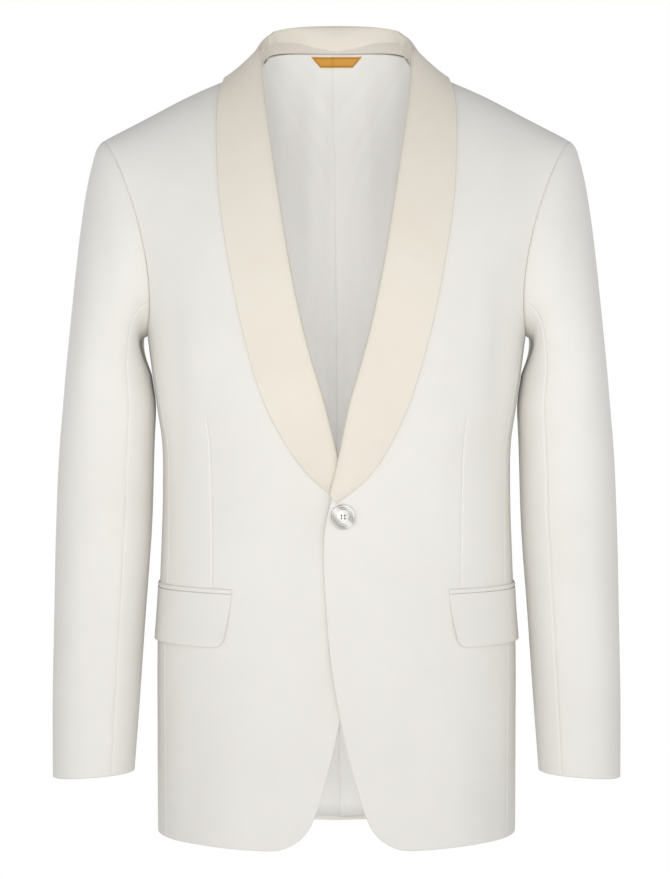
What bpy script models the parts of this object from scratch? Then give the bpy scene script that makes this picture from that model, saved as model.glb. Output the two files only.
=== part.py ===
"""A man's dinner jacket: ivory cloth, cream shawl collar, one button, two flap pockets.

It is built as it is cut: fronts, side bodies, backs, two-piece sleeves, shawl collar, back
lining, pocket jets and flaps, label, button and thread shank. It keeps the hollow shape that
it has when it is worn.

Metres, +Z up. The front faces -Y and the wearer's left is +X. The origin lies midway between
the two neck points, where the shoulder seams meet the collar. Most functions work on the
wearer's left half; `side` is +1 for the left half and -1 for the right one.
"""

import math

import bmesh
import bpy
import numpy as np
from mathutils import Vector
from mathutils.bvhtree import BVHTree

# ---------------------------------------------------------------- driving dimensions

CLOTH = 0.0022  # wall of the body and sleeve cloth, with its interlining
COLLAR_CLOTH = 0.0016
LINING_CLOTH = 0.0010
FLAP_CLOTH = 0.0014
SEAM_GAP = 0.0003  # between the edges of two pieces that are sewn together
SHOULDER_GAP = 0.0005  # the same where the seam runs over a curve
LAYER_GAP = 0.0004  # between a piece and what lies on it

ARMPIT_Z = -0.262
BODY_DROP = 0.500  # how far below the armpit the form's sections reach
SHOULDER_REACH = 0.2255  # centre to sleeve seam along the shoulder, from the front
RIDGE_REACH = 0.240  # where the shoulder line would end if there were no sleeve
NECK_HALF = 0.0755  # centre to neck point
NECK_BACK = (0.0, 0.074, 0.020)  # centre back of the neck seam
RIDGE_Y = 0.006  # how far behind the origin the shoulder seam lies

CENTRE_SHIFT = 0.0035  # the closed fronts hang this far towards the wearer's left
FRONT_SEAM = math.radians(69)  # side-body seams, as angles round the body from centre front
BACK_SEAM = math.radians(118)

FLAP_LENGTH, FLAP_DEPTH, FLAP_CORNER = 0.150, 0.050, 0.011
FLAP_FRONT_X, FLAP_Z, FLAP_SLOPE = 0.1015, -0.5025, 0.030
FLAP_SLANT = 0.005  # of its front end, down to the corner
FLAP_FLARE = 0.0014  # how far its lower edge stands off
JET_DEPTH = 0.0045

BUTTON_RADIUS, BUTTON_X, BUTTON_Z = 0.0115, 0.0060, -0.4343
LINING_RISE = 0.006  # how far above the hem the lining ends
LABEL_TOP, LABEL_BOTTOM, LABEL_HEIGHT = 0.051, 0.032, 0.0105
LABEL_Z = 0.0170  # its upper edge

LOWER_ROWS = 12  # rows of faces between hem and armhole
ARM_STEPS = 12  # divisions of half an armhole, armpit to shoulder
SIDE_STEPS = 2  # how many of them belong to the side body
FRONT_COLUMNS, BACK_COLUMNS, NECK_COLUMNS = 11, 8, 4
DART_COLUMN = 5


def table(columns, *rows):
    """A short table: each column's name with its values down the rows."""
    return dict(zip(columns.split(), np.array(rows, float).T))


# Sections of the body from the hem up. Squareness is the power of the section's outline:
# 2 is an ellipse.
BODY = table(
    "z half_width front back squareness",
    (-0.762, 0.1725, 0.126, 0.126, 2.6),
    (-0.650, 0.1730, 0.128, 0.131, 2.6),
    (-0.550, 0.1728, 0.127, 0.126, 2.6),
    (-0.480, 0.1700, 0.124, 0.114, 2.5),
    (-0.410, 0.1680, 0.123, 0.107, 2.45),
    (-0.362, 0.1690, 0.124, 0.109, 2.4),
    (-0.330, 0.1738, 0.126, 0.113, 2.4),
    (-0.300, 0.1780, 0.127, 0.118, 2.4),
    (-0.262, 0.1830, 0.129, 0.124, 2.4),
)

# The shoulder seam from the front, out from the neck point.
SHOULDER = table(
    "x z",
    (0.0755, 0.0000),
    (0.1090, -0.0136),
    (0.1440, -0.0290),
    (0.1860, -0.0510),
    (0.2255, -0.0715),
    (0.2400, -0.0795),
)

# The front's free edge from the hem's round corner up to the break of the lapel: how far it
# lies on its own side of the closing line.
FRONT_EDGE = table(
    "z x",
    (-0.7372, 0.0390),
    (-0.7290, 0.0314),
    (-0.7130, 0.0234),
    (-0.6910, 0.0162),
    (-0.6610, 0.0082),
    (-0.6310, 0.0014),
    (-0.5810, -0.0076),
    (-0.5220, -0.0134),
    (-0.4740, -0.0158),
    (-0.4460, -0.0152),
    (-0.4150, -0.0102),
    (-0.3780, 0.0000),
)

# The roll line, where the lapel folds over, from the break up to the neck.
ROLL = table(
    "z x",
    (-0.4150, -0.0102),
    (-0.3780, 0.0000),
    (-0.3260, 0.0121),
    (-0.2800, 0.0256),
    (-0.2120, 0.0410),
    (-0.1500, 0.0515),
    (-0.0930, 0.0604),
    (-0.0520, 0.0665),
    (-0.0190, 0.0705),
    (0.0000, 0.0725),
)

# The hem's height round the body, by the angle from centre front.
HEM = table(
    "angle z",
    (0, -0.7465),
    (35, -0.7460),
    (60, -0.7420),
    (90, -0.7385),
    (130, -0.7425),
    (180, -0.7455),
)
CORNER_RADIUS = 0.044  # of the front's cutaway corner
CORNER_X = 0.067

# The armhole on the form, as Bezier handles: angle round the body, and level from the armpit
# (0) to the shoulder seam (1).
ARMHOLE_FRONT = ((90.0, 0.0), (66.0, -0.01), (64.0, 0.42))
ARMHOLE_BACK = ((90.0, 0.0), (119.0, 0.0), (116.0, 0.46))

# Sections of a sleeve from the armpit down: its inner and outer edge from the front, its
# middle and half its depth from the side, and how much lower it is outside than in.
SLEEVE = table(
    "z inner outer middle half_depth tilt",
    (-0.3000, 0.1792, 0.2624, 0.002, 0.0730, 0.00),
    (-0.3320, 0.1753, 0.2648, -0.001, 0.0700, 0.00),
    (-0.3620, 0.1763, 0.2672, -0.004, 0.0670, 0.00),
    (-0.4460, 0.1785, 0.2705, -0.012, 0.0625, 0.01),
    (-0.5300, 0.1840, 0.2715, -0.022, 0.0580, 0.03),
    (-0.6080, 0.1888, 0.2722, -0.032, 0.0540, 0.05),
    (-0.6785, 0.1935, 0.2712, -0.042, 0.0500, 0.07),
)
SLEEVE_SQUARENESS = 2.25
CAP_ROWS, ARM_ROWS = 5, 7
FOREARM_STEP, ELBOW_STEP = 4, 5  # sleeve seams, in armhole steps from the armpit

# The collar round the neck, from centre back to the neck point: the top of its fold, and where
# the edge of the leaf lies on the back.
NECK = table(
    "fold_x fold_y fold_z leaf_x leaf_level",
    (0.0000, 0.0850, 0.0480, 0.0000, 0.900),
    (0.0290, 0.0810, 0.0470, 0.0360, 0.905),
    (0.0530, 0.0665, 0.0430, 0.0690, 0.920),
    (0.0680, 0.0430, 0.0340, 0.0930, 0.950),
    (0.0735, 0.0160, 0.0205, 0.1055, 0.985),
)

# The lapel from the neck down: the height of its fold, the edge of the leaf, how far the fold
# stands off the body, and how far the facing turns back inside. The fold lies on the roll line.
LAPEL = table(
    "fold_z leaf_x leaf_z stand reach_back",
    (-0.0008, 0.1072, -0.0142, 0.0150, 0.0016),
    (-0.0030, 0.1095, -0.0200, 0.0130, 0.0016),
    (-0.0090, 0.1125, -0.0330, 0.0090, 0.0020),
    (-0.0220, 0.1140, -0.0560, 0.0045, 0.0040),
    (-0.0440, 0.1135, -0.0840, 0.0022, 0.0070),
    (-0.0740, 0.1120, -0.1150, 0.0010, 0.0090),
    (-0.1100, 0.1085, -0.1490, 0.0, 0.0100),
    (-0.1500, 0.1030, -0.1840, 0.0, 0.0100),
    (-0.1900, 0.0965, -0.2190, 0.0, 0.0100),
    (-0.2280, 0.0896, -0.2520, 0.0, 0.0100),
    (-0.2620, 0.0826, -0.2805, 0.0, 0.0100),
    (-0.2920, 0.0748, -0.3080, 0.0, 0.0100),
    (-0.3200, 0.0652, -0.3345, 0.0, 0.0100),
    (-0.3460, 0.0532, -0.3590, 0.0, 0.0100),
    (-0.3700, 0.0402, -0.3810, 0.0, 0.0090),
    (-0.3930, 0.0228, -0.4020, 0.0, 0.0080),
    (-0.4140, -0.0030, -0.4220, 0.0, 0.0060),
)
LEAF_POINTS = 6
LEAF_GAP, FACING_GAP = 0.0009, 0.0009  # under the leaf, and inside the front
FOLD_INSET = 0.0032  # from the fold in to the edge of the cloth that it wraps

# The waist dart, from the front.
DART_TOP, DART_FOOT = (0.1250, -0.325), (0.1175, -0.4995)
DART_HALF_WIDTH, DART_DEPTH = 0.0022, 0.0007

# How far the right front lies inside the form, where the left one laps over it.
UNDERLAP = table(
    "z depth",
    (-0.762, 0.0),
    (-0.700, 0.0),
    (-0.640, 0.0040),
    (-0.590, 0.0050),
    (-0.460, 0.0052),
    (-0.425, 0.0085),
    (-0.365, 0.0085),
    (-0.240, 0.0),
    (0.020, 0.0),
)
UNDERLAP_FULL, UNDERLAP_END = 0.020, 0.075  # where it is full, and where it has died away

IVORY = (0.86, 0.85, 0.80)
CREAM = (0.83, 0.77, 0.66)
LINING = (0.80, 0.80, 0.78)
GOLD = (0.78, 0.45, 0.09)
PEARL = (0.82, 0.81, 0.78)


# ---------------------------------------------------------------- curves


def along(values, column, at):
    """The smooth value of a table's column at `at` on the table's first column."""
    knots = next(iter(values.values()))
    heights = values[column]
    at = min(max(at, knots[0]), knots[-1])
    i = min(max(int(np.searchsorted(knots, at)) - 1, 0), len(knots) - 2)
    steps = np.diff(knots)
    rises = np.diff(heights) / steps

    def slope(k):
        if k in (0, len(knots) - 1):
            return rises[0 if k == 0 else -1]
        if rises[k - 1] * rises[k] <= 0:
            return 0.0
        weight = steps[k] / (steps[k - 1] + steps[k])
        return rises[k - 1] * weight + rises[k] * (1 - weight)

    t = (at - knots[i]) / steps[i]
    a, b = slope(i) * steps[i], slope(i + 1) * steps[i]
    return (
        heights[i] * (1 + 2 * t) * (1 - t) ** 2
        + a * t * (1 - t) ** 2
        + heights[i + 1] * t * t * (3 - 2 * t)
        - b * t * t * (1 - t)
    )


def bezier(handles, t):
    a, b, c, d = (np.array(h, float) for h in handles)
    return (1 - t) ** 3 * a + 3 * t * (1 - t) ** 2 * b + 3 * t * t * (1 - t) * c + t**3 * d


def ease(low, high, at):
    """0 before low, 1 after high, smooth between."""
    t = min(max((at - low) / (high - low), 0.0), 1.0)
    return t * t * (3 - 2 * t)


def through(points, steps):
    """A smooth line through the points, with `steps` parts between each two (Catmull-Rom)."""
    p = np.array(points, float)
    p = np.vstack([2 * p[0] - p[1], p, 2 * p[-1] - p[-2]])
    line = []
    for i in range(1, len(p) - 2):
        for t in np.arange(steps) / steps:
            a, b, c, d = p[i - 1 : i + 3]
            line.append(
                b + 0.5 * t * (c - a + t * (2 * a - 5 * b + 4 * c - d + t * (3 * (b - c) + d - a)))
            )
    return np.array([*line, p[-2]])


def unit(vector):
    return vector / np.linalg.norm(vector)


# ---------------------------------------------------------------- the form of the body


def section(angle, z):
    """A point of the body's outline at height z, at an angle round from centre front."""
    width, power = along(BODY, "half_width", z), along(BODY, "squareness", z)
    across, ahead = math.sin(angle), math.cos(angle)
    depth = along(BODY, "front" if ahead > 0 else "back", z)
    reach = (abs(across / width) ** power + abs(ahead / depth) ** power) ** (-1 / power)
    return np.array([reach * across, -reach * ahead, z])


def shoulder_top(x, behind):
    """A point of the body's upper edge and the handle below it: shoulder seam, then neck."""
    out = abs(x)
    ridge = np.array([x, RIDGE_Y, along(SHOULDER, "z", out)])
    if not behind:
        return ridge, ridge + (0, -0.058, -0.010)
    share = min(out / NECK_HALF, 1.0)
    rise = math.sqrt(1 - share**2.2)
    ridge[1] += (NECK_BACK[1] - RIDGE_Y) * rise
    ridge[2] += NECK_BACK[2] * (1 - (1 - rise) ** 1.7)
    over = ease(0.55, 1.5, out / NECK_HALF)
    return ridge, ridge + (0, 0.012 + 0.055 * over, -0.050 + 0.040 * over)


def form(angle, level):
    """A point of the form: level -1 to 0 is hem to armpit, 0 to 1 is armpit to upper edge."""
    if level <= 0:
        return section(angle, ARMPIT_Z + level * BODY_DROP)
    foot = section(angle, ARMPIT_Z)
    rise = foot - section(angle, ARMPIT_Z - 0.01)
    share = foot[0] / BODY["half_width"][-1]
    top, handle = shoulder_top(share * RIDGE_REACH, math.cos(angle) < 0)
    length = 0.42 * (top[2] - foot[2])
    return bezier((foot, foot + rise / rise[2] * length, handle, top), level)


def form_normal(angle, level):
    """The form's outward direction, shared by front and back at the shoulder seam."""
    d = 1e-3
    if level > 1 - 1e-6:
        top, handle = shoulder_top(form(angle, 1.0)[0], True)
        if abs(top[0]) > NECK_HALF - 1e-4:
            ahead = shoulder_top(top[0], False)[1] - top
            across = unit(handle - top) - unit(ahead)
            onward = shoulder_top(top[0] + d, False)[0] - shoulder_top(top[0] - d, False)[0]
            return unit(np.cross(onward, across))
    low = min(level, 1 - 2 * d)
    round_it = form(angle + d, low) - form(angle - d, low)
    up = form(angle, low + d) - form(angle, low - d)
    return unit(np.cross(round_it, up))


def find_angle(x, level, behind=False):
    """The angle at which the form reaches out to x at a level."""
    low, high = (math.pi, math.pi / 2) if behind else (0.0, math.pi / 2)
    for _ in range(40):
        middle = (low + high) / 2
        low, high = (middle, high) if form(middle, level)[0] < x else (low, middle)
    return low


def find_front(x, z):
    """The angle and level at which the form's front shows at x and z from the front."""
    angle, level = math.asin(max(-0.9, min(0.9, x / 0.19))), (z - ARMPIT_Z) / BODY_DROP
    if level > 0:
        level = min((z - ARMPIT_Z) / -ARMPIT_Z, 0.95)
    for _ in range(25):
        here = form(angle, level)
        d = 1e-4
        by_angle = (form(angle + d, level) - here) / d
        by_level = (form(angle, level - d) - here) / -d
        slopes = np.array([[by_angle[0], by_level[0]], [by_angle[2], by_level[2]]])
        step = np.linalg.solve(slopes, np.array([x - here[0], z - here[2]]))
        angle += float(np.clip(step[0], -0.2, 0.2))
        level = min(level + float(np.clip(step[1], -0.2, 0.2)), 1.0)
    return np.array([angle, level])


def level_of(z):
    return (z - ARMPIT_Z) / BODY_DROP


# ---------------------------------------------------------------- outlines on the form


def armhole(step):
    """Angle and level at a step round the armhole: 0 armpit, + to the front, - to the back."""
    handles = ARMHOLE_FRONT if step >= 0 else ARMHOLE_BACK
    shoulder = find_angle(SHOULDER_REACH, 1.0, step < 0)
    angle, level = bezier((*handles, (math.degrees(shoulder), 1.0)), abs(step) / ARM_STEPS)
    return np.array([math.radians(angle), level])


def hem(angle, side):
    """Angle and level of the hem, with the front's round corner."""
    z = along(HEM, "z", math.degrees(angle))
    inside = CORNER_X + side * CENTRE_SHIFT - section(angle, z)[0]
    if angle < FRONT_SEAM and 0 < inside < CORNER_RADIUS:
        z += CORNER_RADIUS - math.sqrt(CORNER_RADIUS**2 - inside**2)
    return np.array([angle, level_of(z)])


def closing_shift(z, side):
    """How far the fronts' outlines are moved sideways at this height."""
    return side * CENTRE_SHIFT * (1 - ease(-0.46, -0.30, z))


def front_edge(z, side):
    """Angle and level of the front's free edge, which runs inside the lapel's fold."""
    if z < ROLL["z"][0]:
        x = along(FRONT_EDGE, "x", z)
    else:
        x = along(ROLL, "x", z)
    inset = FOLD_INSET * ease(-0.46, -0.41, z)
    return find_front(x + inset + closing_shift(z, side), z)


def underlap(point, side):
    """How far inside the form a point of the right front lies, under the left one."""
    if side > 0:
        return 0.0
    depth = along(UNDERLAP, "depth", point[2])
    return depth * (1 - ease(UNDERLAP_FULL, UNDERLAP_END, point[0]))


# ---------------------------------------------------------------- cloth from grids


def coons(bottom, top, start, end):
    """Fills a patch between four lines that share their corners; rows run from bottom to top."""
    rows, columns = len(start), len(bottom)
    s, t = np.linspace(0, 1, columns)[None, :, None], np.linspace(0, 1, rows)[:, None, None]
    bottom, top = bottom[None], top[None]
    start, end = start[:, None], end[:, None]
    return (
        (1 - t) * bottom
        + t * top
        + (1 - s) * start
        + s * end
        - (1 - s) * (1 - t) * bottom[:, :1]
        - s * (1 - t) * bottom[:, -1:]
        - (1 - s) * t * top[:, :1]
        - s * t * top[:, -1:]
    )


def drawn_in(grid, edges, by=SEAM_GAP / 2):
    """Moves the named edges of a grid of points in, for the gap at a seam."""
    grid = grid.copy()
    pairs = {
        "bottom": (np.s_[0], np.s_[1]),
        "top": (np.s_[-1], np.s_[-2]),
        "start": (np.s_[:, 0], np.s_[:, 1]),
        "end": (np.s_[:, -1], np.s_[:, -2]),
    }
    for name in edges.split():
        rim, inside = pairs[name]
        way = grid[inside] - grid[rim]
        grid[rim] += way / np.linalg.norm(way, axis=-1, keepdims=True) * by
    return grid


def shell(name, outer, inner, side, material):
    """A closed cloth wall between two grids of points, mirrored to its own side."""
    rows, columns = outer.shape[:2]
    points = np.concatenate([outer.reshape(-1, 3), inner.reshape(-1, 3)])
    points = points * (side, 1, 1)
    far = rows * columns
    mesh = bpy.data.meshes.new(name)
    work = bmesh.new()
    vertices = [work.verts.new(p) for p in points]

    def face(*corners):
        work.faces.new([vertices[c] for c in corners])

    for r in range(rows - 1):
        for c in range(columns - 1):
            a = r * columns + c
            below, above = (a, a + 1, a + 1 + columns), (a, a + 1 + columns, a + columns)
            for corners in (below, above):
                face(*corners)
                face(*(far + k for k in reversed(corners)))
    rim = [c for c in range(columns - 1)]
    rim += [r * columns + columns - 1 for r in range(rows - 1)]
    rim += [(rows - 1) * columns + c for c in range(columns - 1, 0, -1)]
    rim += [r * columns for r in range(rows - 1, 0, -1)]
    for a, b in zip(rim, rim[1:] + rim[:1]):
        face(b, a, far + a, far + b)
    bmesh.ops.recalc_face_normals(work, faces=work.faces)
    if work.calc_volume(signed=True) < 0:
        bmesh.ops.reverse_faces(work, faces=work.faces)
    work.to_mesh(mesh)
    work.free()
    return place(name, mesh, material)


def place(name, mesh, material):
    mesh.shade_smooth()
    mesh.set_sharp_from_angle(angle=math.radians(40))
    mesh.materials.append(material)
    piece = bpy.data.objects.new(name, mesh)
    bpy.context.scene.collection.objects.link(piece)
    return piece


def principled(name, colour, roughness, metallic=0.0):
    material = bpy.data.materials.new(name)
    material.use_nodes = True
    shader = material.node_tree.nodes["Principled BSDF"]
    shader.inputs["Base Color"].default_value = (*colour, 1)
    shader.inputs["Roughness"].default_value = roughness
    shader.inputs["Metallic"].default_value = metallic
    return material


def on_form(places, height=0.0, side=1, lapped=False):
    """Points of the form at a grid of angles and levels, moved out by height."""
    grid = np.empty((*places.shape[:2], 3))
    for index in np.ndindex(places.shape[:2]):
        point = form(*places[index])
        lift = height - (underlap(point, side) if lapped else 0.0)
        grid[index] = point + form_normal(*places[index]) * lift
    return grid


def tree_of(*grids):
    """A search tree over the faces of some grids of points."""
    points, faces = [], []
    for grid in grids:
        rows, columns = grid.shape[:2]
        first = len(points)
        points += [Vector(p) for p in grid.reshape(-1, 3)]
        for r, c in np.ndindex(rows - 1, columns - 1):
            a = first + r * columns + c
            faces += [(a, a + 1, a + 1 + columns), (a, a + 1 + columns, a + columns)]
    return BVHTree.FromPolygons(points, faces)


def seated(tree, point, away, gap, reach=0.010):
    """The point moved along `away` until it lies `gap` off the surface."""
    away = Vector(away)
    x = point[0] if abs(point[0]) > SEAM_GAP else SEAM_GAP  # beside a centre seam
    start = Vector((x, point[1], point[2]))
    hit = tree.ray_cast(start + away * reach, -away, 2 * reach)[0]
    return point if hit is None else point + np.array(away) * ((hit - start) @ away + gap)


def kept_off(tree, point, away, gap):
    """The point, moved along `away` only if it lies less than `gap` off the surface."""
    resting = seated(tree, point, away, gap)
    return resting if float((resting - point) @ away) > 0 else point


# ---------------------------------------------------------------- sleeve surface


def sleeve_section(turn, share):
    """A point of the sleeve below the armpit. Turn 0 faces the body, a quarter is in front."""
    z = SLEEVE["z"][0] + (SLEEVE["z"][-1] - SLEEVE["z"][0]) * share
    # The table runs down, so it is read upside down.
    flipped = {k: v[::-1] for k, v in SLEEVE.items()}
    inner, outer, middle, depth, tilt = (
        along(flipped, c, z) for c in ("inner", "outer", "middle", "half_depth", "tilt")
    )
    across, ahead = -math.cos(turn), math.sin(turn)
    n = SLEEVE_SQUARENESS
    reach = (abs(across) ** n + abs(ahead) ** n) ** (-1 / n)
    x = (inner + outer) / 2 + (outer - inner) / 2 * reach * across
    return np.array([x, middle - depth * reach * ahead, z - tilt * (x - inner)])


def sleeve_turn(step):
    return math.pi * step / ARM_STEPS


def sleeve_cap(step, share):
    """A point between the armhole and the first full section of the sleeve."""
    start = form(*armhole(step))
    turn = sleeve_turn(step)
    end = sleeve_section(turn, 0)
    height = (1 - math.cos(turn)) / 2  # 0 at the armpit, 1 at the shoulder
    ahead = math.sin(turn)
    leave = np.array([0.016 + 0.004 * height, -0.012 * ahead, -0.003 - 0.012 * height])
    arrive = np.array([0.004 * (1 - height) - 0.010 * height, 0.0, 0.014 + 0.090 * height])
    return bezier((start, start + leave, end + arrive, end), share)


def sleeve_point(step, row):
    if row <= CAP_ROWS:
        return sleeve_cap(step, row / CAP_ROWS)
    return sleeve_section(sleeve_turn(step), (row - CAP_ROWS) / ARM_ROWS)


def sleeve_normal(step, row):
    d = 1e-3
    round_it = sleeve_point(step + d, row) - sleeve_point(step - d, row)
    last = CAP_ROWS + ARM_ROWS
    down = sleeve_point(step, min(row + d, last)) - sleeve_point(step, max(row - d, 0))
    return unit(np.cross(down, round_it))


def mitre(step):
    """The way from the outside to the inside of the cloth at the armhole seam."""
    place_on_form = armhole(step)
    body = form_normal(*place_on_form)
    arm = sleeve_normal(min(max(step, -ARM_STEPS + 0.01), ARM_STEPS - 0.01), 0.02)
    middle = unit(body + arm)
    return -middle * CLOTH / max(float(middle @ body), 0.75)


# ---------------------------------------------------------------- panels of the body


def inside_of(outer, places, arm_edge=None, arm_steps=()):
    """The cloth's inner points: straight in, or along the mitre at the armhole."""
    inner = outer.copy()
    for index in np.ndindex(outer.shape[:2]):
        inner[index] -= form_normal(*places[index]) * CLOTH
    if arm_edge is not None:
        for point, step in enumerate(arm_steps):
            where = arm_edge(point)
            inner[where] = outer[where] + mitre(step)
    return inner


def seam_line(angle, top_step, side):
    """A side-body seam from the hem up to the armhole, as angles and levels."""
    foot, top = hem(angle, side), armhole(top_step)
    t = np.linspace(0, 1, LOWER_ROWS + 1)[:, None]
    bow = np.hstack([(1 - t) ** 4 * (foot[0] - angle), np.zeros_like(t)])
    straight = np.hstack([angle + (top[0] - angle) * t**3, foot[1] + (top[1] - foot[1]) * t])
    return straight + bow


def with_dart(places):
    """Brings three columns of a front's grid to the dart, and says how deep it is in each row."""
    top, foot = (np.array(find_front(*end)) for end in (DART_TOP, DART_FOOT))
    result, depths = [], []
    for line in places:
        way = np.hypot(*np.diff(line, axis=0).T)
        way = np.hstack([0, np.cumsum(way)]) / way.sum()
        share = 0.5
        for _ in range(12):
            level = np.interp(share, way, line[:, 1])
            t = (level - foot[1]) / (top[1] - foot[1])
            goal = foot[0] + (top[0] - foot[0]) * min(max(t, -0.5), 1.0)
            share = float(np.interp(goal, line[:, 0], way))
        share = min(max(share, 0.2), 0.85)
        half = DART_HALF_WIDTH / 0.17
        before = np.linspace(0, share - half, DART_COLUMN)
        after = np.linspace(share + half, 1, FRONT_COLUMNS - DART_COLUMN)
        at = np.hstack([before, share, after])
        result.append([[np.interp(a, way, line[:, k]) for k in (0, 1)] for a in at])
        depths.append(DART_DEPTH * ease(-0.10, 0.02, t) * (1 - ease(0.80, 1.0, t)))
    return np.array(result), depths


def make_front(side, material):
    arm_steps = range(SIDE_STEPS, ARM_STEPS + 1)
    seam = seam_line(FRONT_SEAM, SIDE_STEPS, side)
    outer_edge = np.vstack([seam, [armhole(s) for s in arm_steps][1:]])
    rows = len(outer_edge)
    low = np.linspace(FRONT_EDGE["z"][0], -0.255, LOWER_ROWS + 1)
    high = np.linspace(-0.255, 0.0, rows - LOWER_ROWS)[1:-1]
    corner = np.array([find_angle(NECK_HALF, 1.0), 1.0])
    inner_edge = np.vstack([[front_edge(z, side) for z in [*low, *high]], corner])
    share = np.linspace(0, 1, FRONT_COLUMNS + 1)
    first = inner_edge[0][0]
    bottom = np.array([hem(first + (FRONT_SEAM - first) * s, side) for s in share])
    bottom[0], bottom[-1] = inner_edge[0], outer_edge[0]
    top = np.array([[a, 1.0] for a in corner[0] + (outer_edge[-1][0] - corner[0]) * share])
    places, depths = with_dart(coons(bottom, top, inner_edge, outer_edge))
    outer = on_form(places, side=side, lapped=True)
    inner = inside_of(outer, places, lambda i: (LOWER_ROWS + i, -1), arm_steps)
    for row, depth in enumerate(depths):
        sink = form_normal(*places[row, DART_COLUMN]) * depth
        outer[row, DART_COLUMN] -= sink
        inner[row, DART_COLUMN] -= sink
    outer, inner = (drawn_in(g, "end") for g in (outer, inner))
    outer, inner = (drawn_in(g, "top", SHOULDER_GAP / 2) for g in (outer, inner))
    name = "front_left" if side > 0 else "front_right"
    return shell(name, outer, inner, side, material), outer, inner


def make_side(side, material):
    steps = range(SIDE_STEPS, -SIDE_STEPS - 1, -1)
    start = seam_line(FRONT_SEAM, SIDE_STEPS, side)
    end = seam_line(BACK_SEAM, -SIDE_STEPS, side)
    share = np.linspace(0, 1, len(steps))
    bottom = np.array([hem(FRONT_SEAM + (BACK_SEAM - FRONT_SEAM) * s, side) for s in share])
    top = np.array([armhole(s) for s in steps])
    places = coons(bottom, top, start, end)
    outer = on_form(places)
    inner = inside_of(outer, places, lambda i: (-1, i), steps)
    outer, inner = (drawn_in(g, "top start end") for g in (outer, inner))
    name = "side_left" if side > 0 else "side_right"
    return shell(name, outer, inner, side, material)


def back_places(side):
    """Angles and levels over the back, from the side seam to centre back."""
    arm_steps = range(-SIDE_STEPS, -ARM_STEPS - 1, -1)
    seam = seam_line(BACK_SEAM, -SIDE_STEPS, side)
    start = np.vstack([seam, [armhole(s) for s in arm_steps][1:]])
    rows = len(start)
    levels = np.hstack(
        [
            np.linspace(hem(math.pi, side)[1], start[LOWER_ROWS][1], LOWER_ROWS + 1),
            np.linspace(start[LOWER_ROWS][1], 1.0, rows - LOWER_ROWS)[1:],
        ]
    )
    end = np.array([[math.pi, level] for level in levels])
    share = np.linspace(0, 1, BACK_COLUMNS + 1)
    bottom = np.array([hem(BACK_SEAM + (math.pi - BACK_SEAM) * s, side) for s in share])
    neck = find_angle(NECK_HALF, 1.0, True)
    shoulder = np.linspace(start[-1][0], neck, BACK_COLUMNS - NECK_COLUMNS + 1)
    nape = np.linspace(neck, math.pi, NECK_COLUMNS + 1)[1:]
    top = np.array([[a, 1.0] for a in [*shoulder, *nape]])
    return coons(bottom, top, start, end), arm_steps


def make_back(side, material):
    places, arm_steps = back_places(side)
    outer = on_form(places)
    inner = inside_of(outer, places, lambda i: (LOWER_ROWS + i, 0), arm_steps)
    outer, inner = (drawn_in(g, "start end") for g in (outer, inner))
    outer, inner = (drawn_in(g, "top", SHOULDER_GAP / 2) for g in (outer, inner))
    shell("back_left" if side > 0 else "back_right", outer, inner, side, material)
    return outer, inner


# ---------------------------------------------------------------- sleeves


def make_sleeve(name, steps, side, material):
    rows = CAP_ROWS + ARM_ROWS + 1
    outer = np.array([[sleeve_point(s, r) for s in steps] for r in range(rows)])
    inner = outer.copy()
    for r in range(rows):
        for c, step in enumerate(steps):
            if r == 0:
                inner[r, c] += mitre(step)
            else:
                inner[r, c] -= sleeve_normal(step, r) * CLOTH
    outer, inner = (drawn_in(g, "bottom") for g in (outer, inner))
    outer, inner = (drawn_in(g, "start end", SHOULDER_GAP / 2) for g in (outer, inner))
    return shell(name, outer, inner, side, material)


def make_sleeves(side, material):
    over = [*range(FOREARM_STEP, ARM_STEPS + 1), *range(-ARM_STEPS + 1, -ELBOW_STEP + 1)]
    under = [*range(-ELBOW_STEP, FOREARM_STEP + 1)]
    name = "left" if side > 0 else "right"
    make_sleeve(f"top_sleeve_{name}", over, side, material)
    make_sleeve(f"under_sleeve_{name}", under, side, material)


# ---------------------------------------------------------------- collar and lapels


def neck_line(fold, leaf_x, leaf_level, share, body):
    """One line across the collar behind the neck: seam, stand, fold, leaf."""
    seam = math.pi + (find_angle(NECK_HALF, 1.0, True) - math.pi) * share
    foot, normal = form(seam, 1.0), form_normal(seam, 1 - 1e-3)
    d = 1e-3
    edge = unit(form(seam - d, 1.0) - form(seam + d, 1.0))
    into_neck = unit(np.cross(edge, normal))
    angle = math.pi if share == 0 else find_angle(leaf_x, leaf_level, True)
    leaf_normal = form_normal(angle, leaf_level)
    leaf = form(angle, leaf_level)
    leaf = seated(body, leaf, leaf_normal, LEAF_GAP + COLLAR_CLOTH + 0.0010)
    out = unit((leaf - fold) * (1, 1, 0))
    clear = 1.5 * LEAF_GAP + COLLAR_CLOTH * max(0.0, -float(out @ into_neck))
    foot = foot + into_neck * clear - normal * 0.0016
    up = np.array([0.0, 0.0, 1.0])
    lean = fold - out * 0.0030 - up * 0.0045
    line = [foot, foot + (lean - foot) * 0.5, lean]
    line += [fold - out * 0.0020 - up * 0.0010, fold, fold + out * 0.0026 - up * 0.0011]
    start = line[-1]
    length = np.linalg.norm(leaf - start)
    down = unit(np.cross(leaf_normal, np.cross(leaf - start, leaf_normal)))
    handles = (start, start + (out - up * 1.1) * 0.30 * length, leaf - down * 0.35 * length, leaf)
    for t in np.linspace(0, 1, LEAF_POINTS + 1)[1:]:
        point = bezier(handles, t)
        line.append(kept_off(body, point, leaf_normal, LEAF_GAP + COLLAR_CLOTH + 0.0006))
    return line


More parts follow.
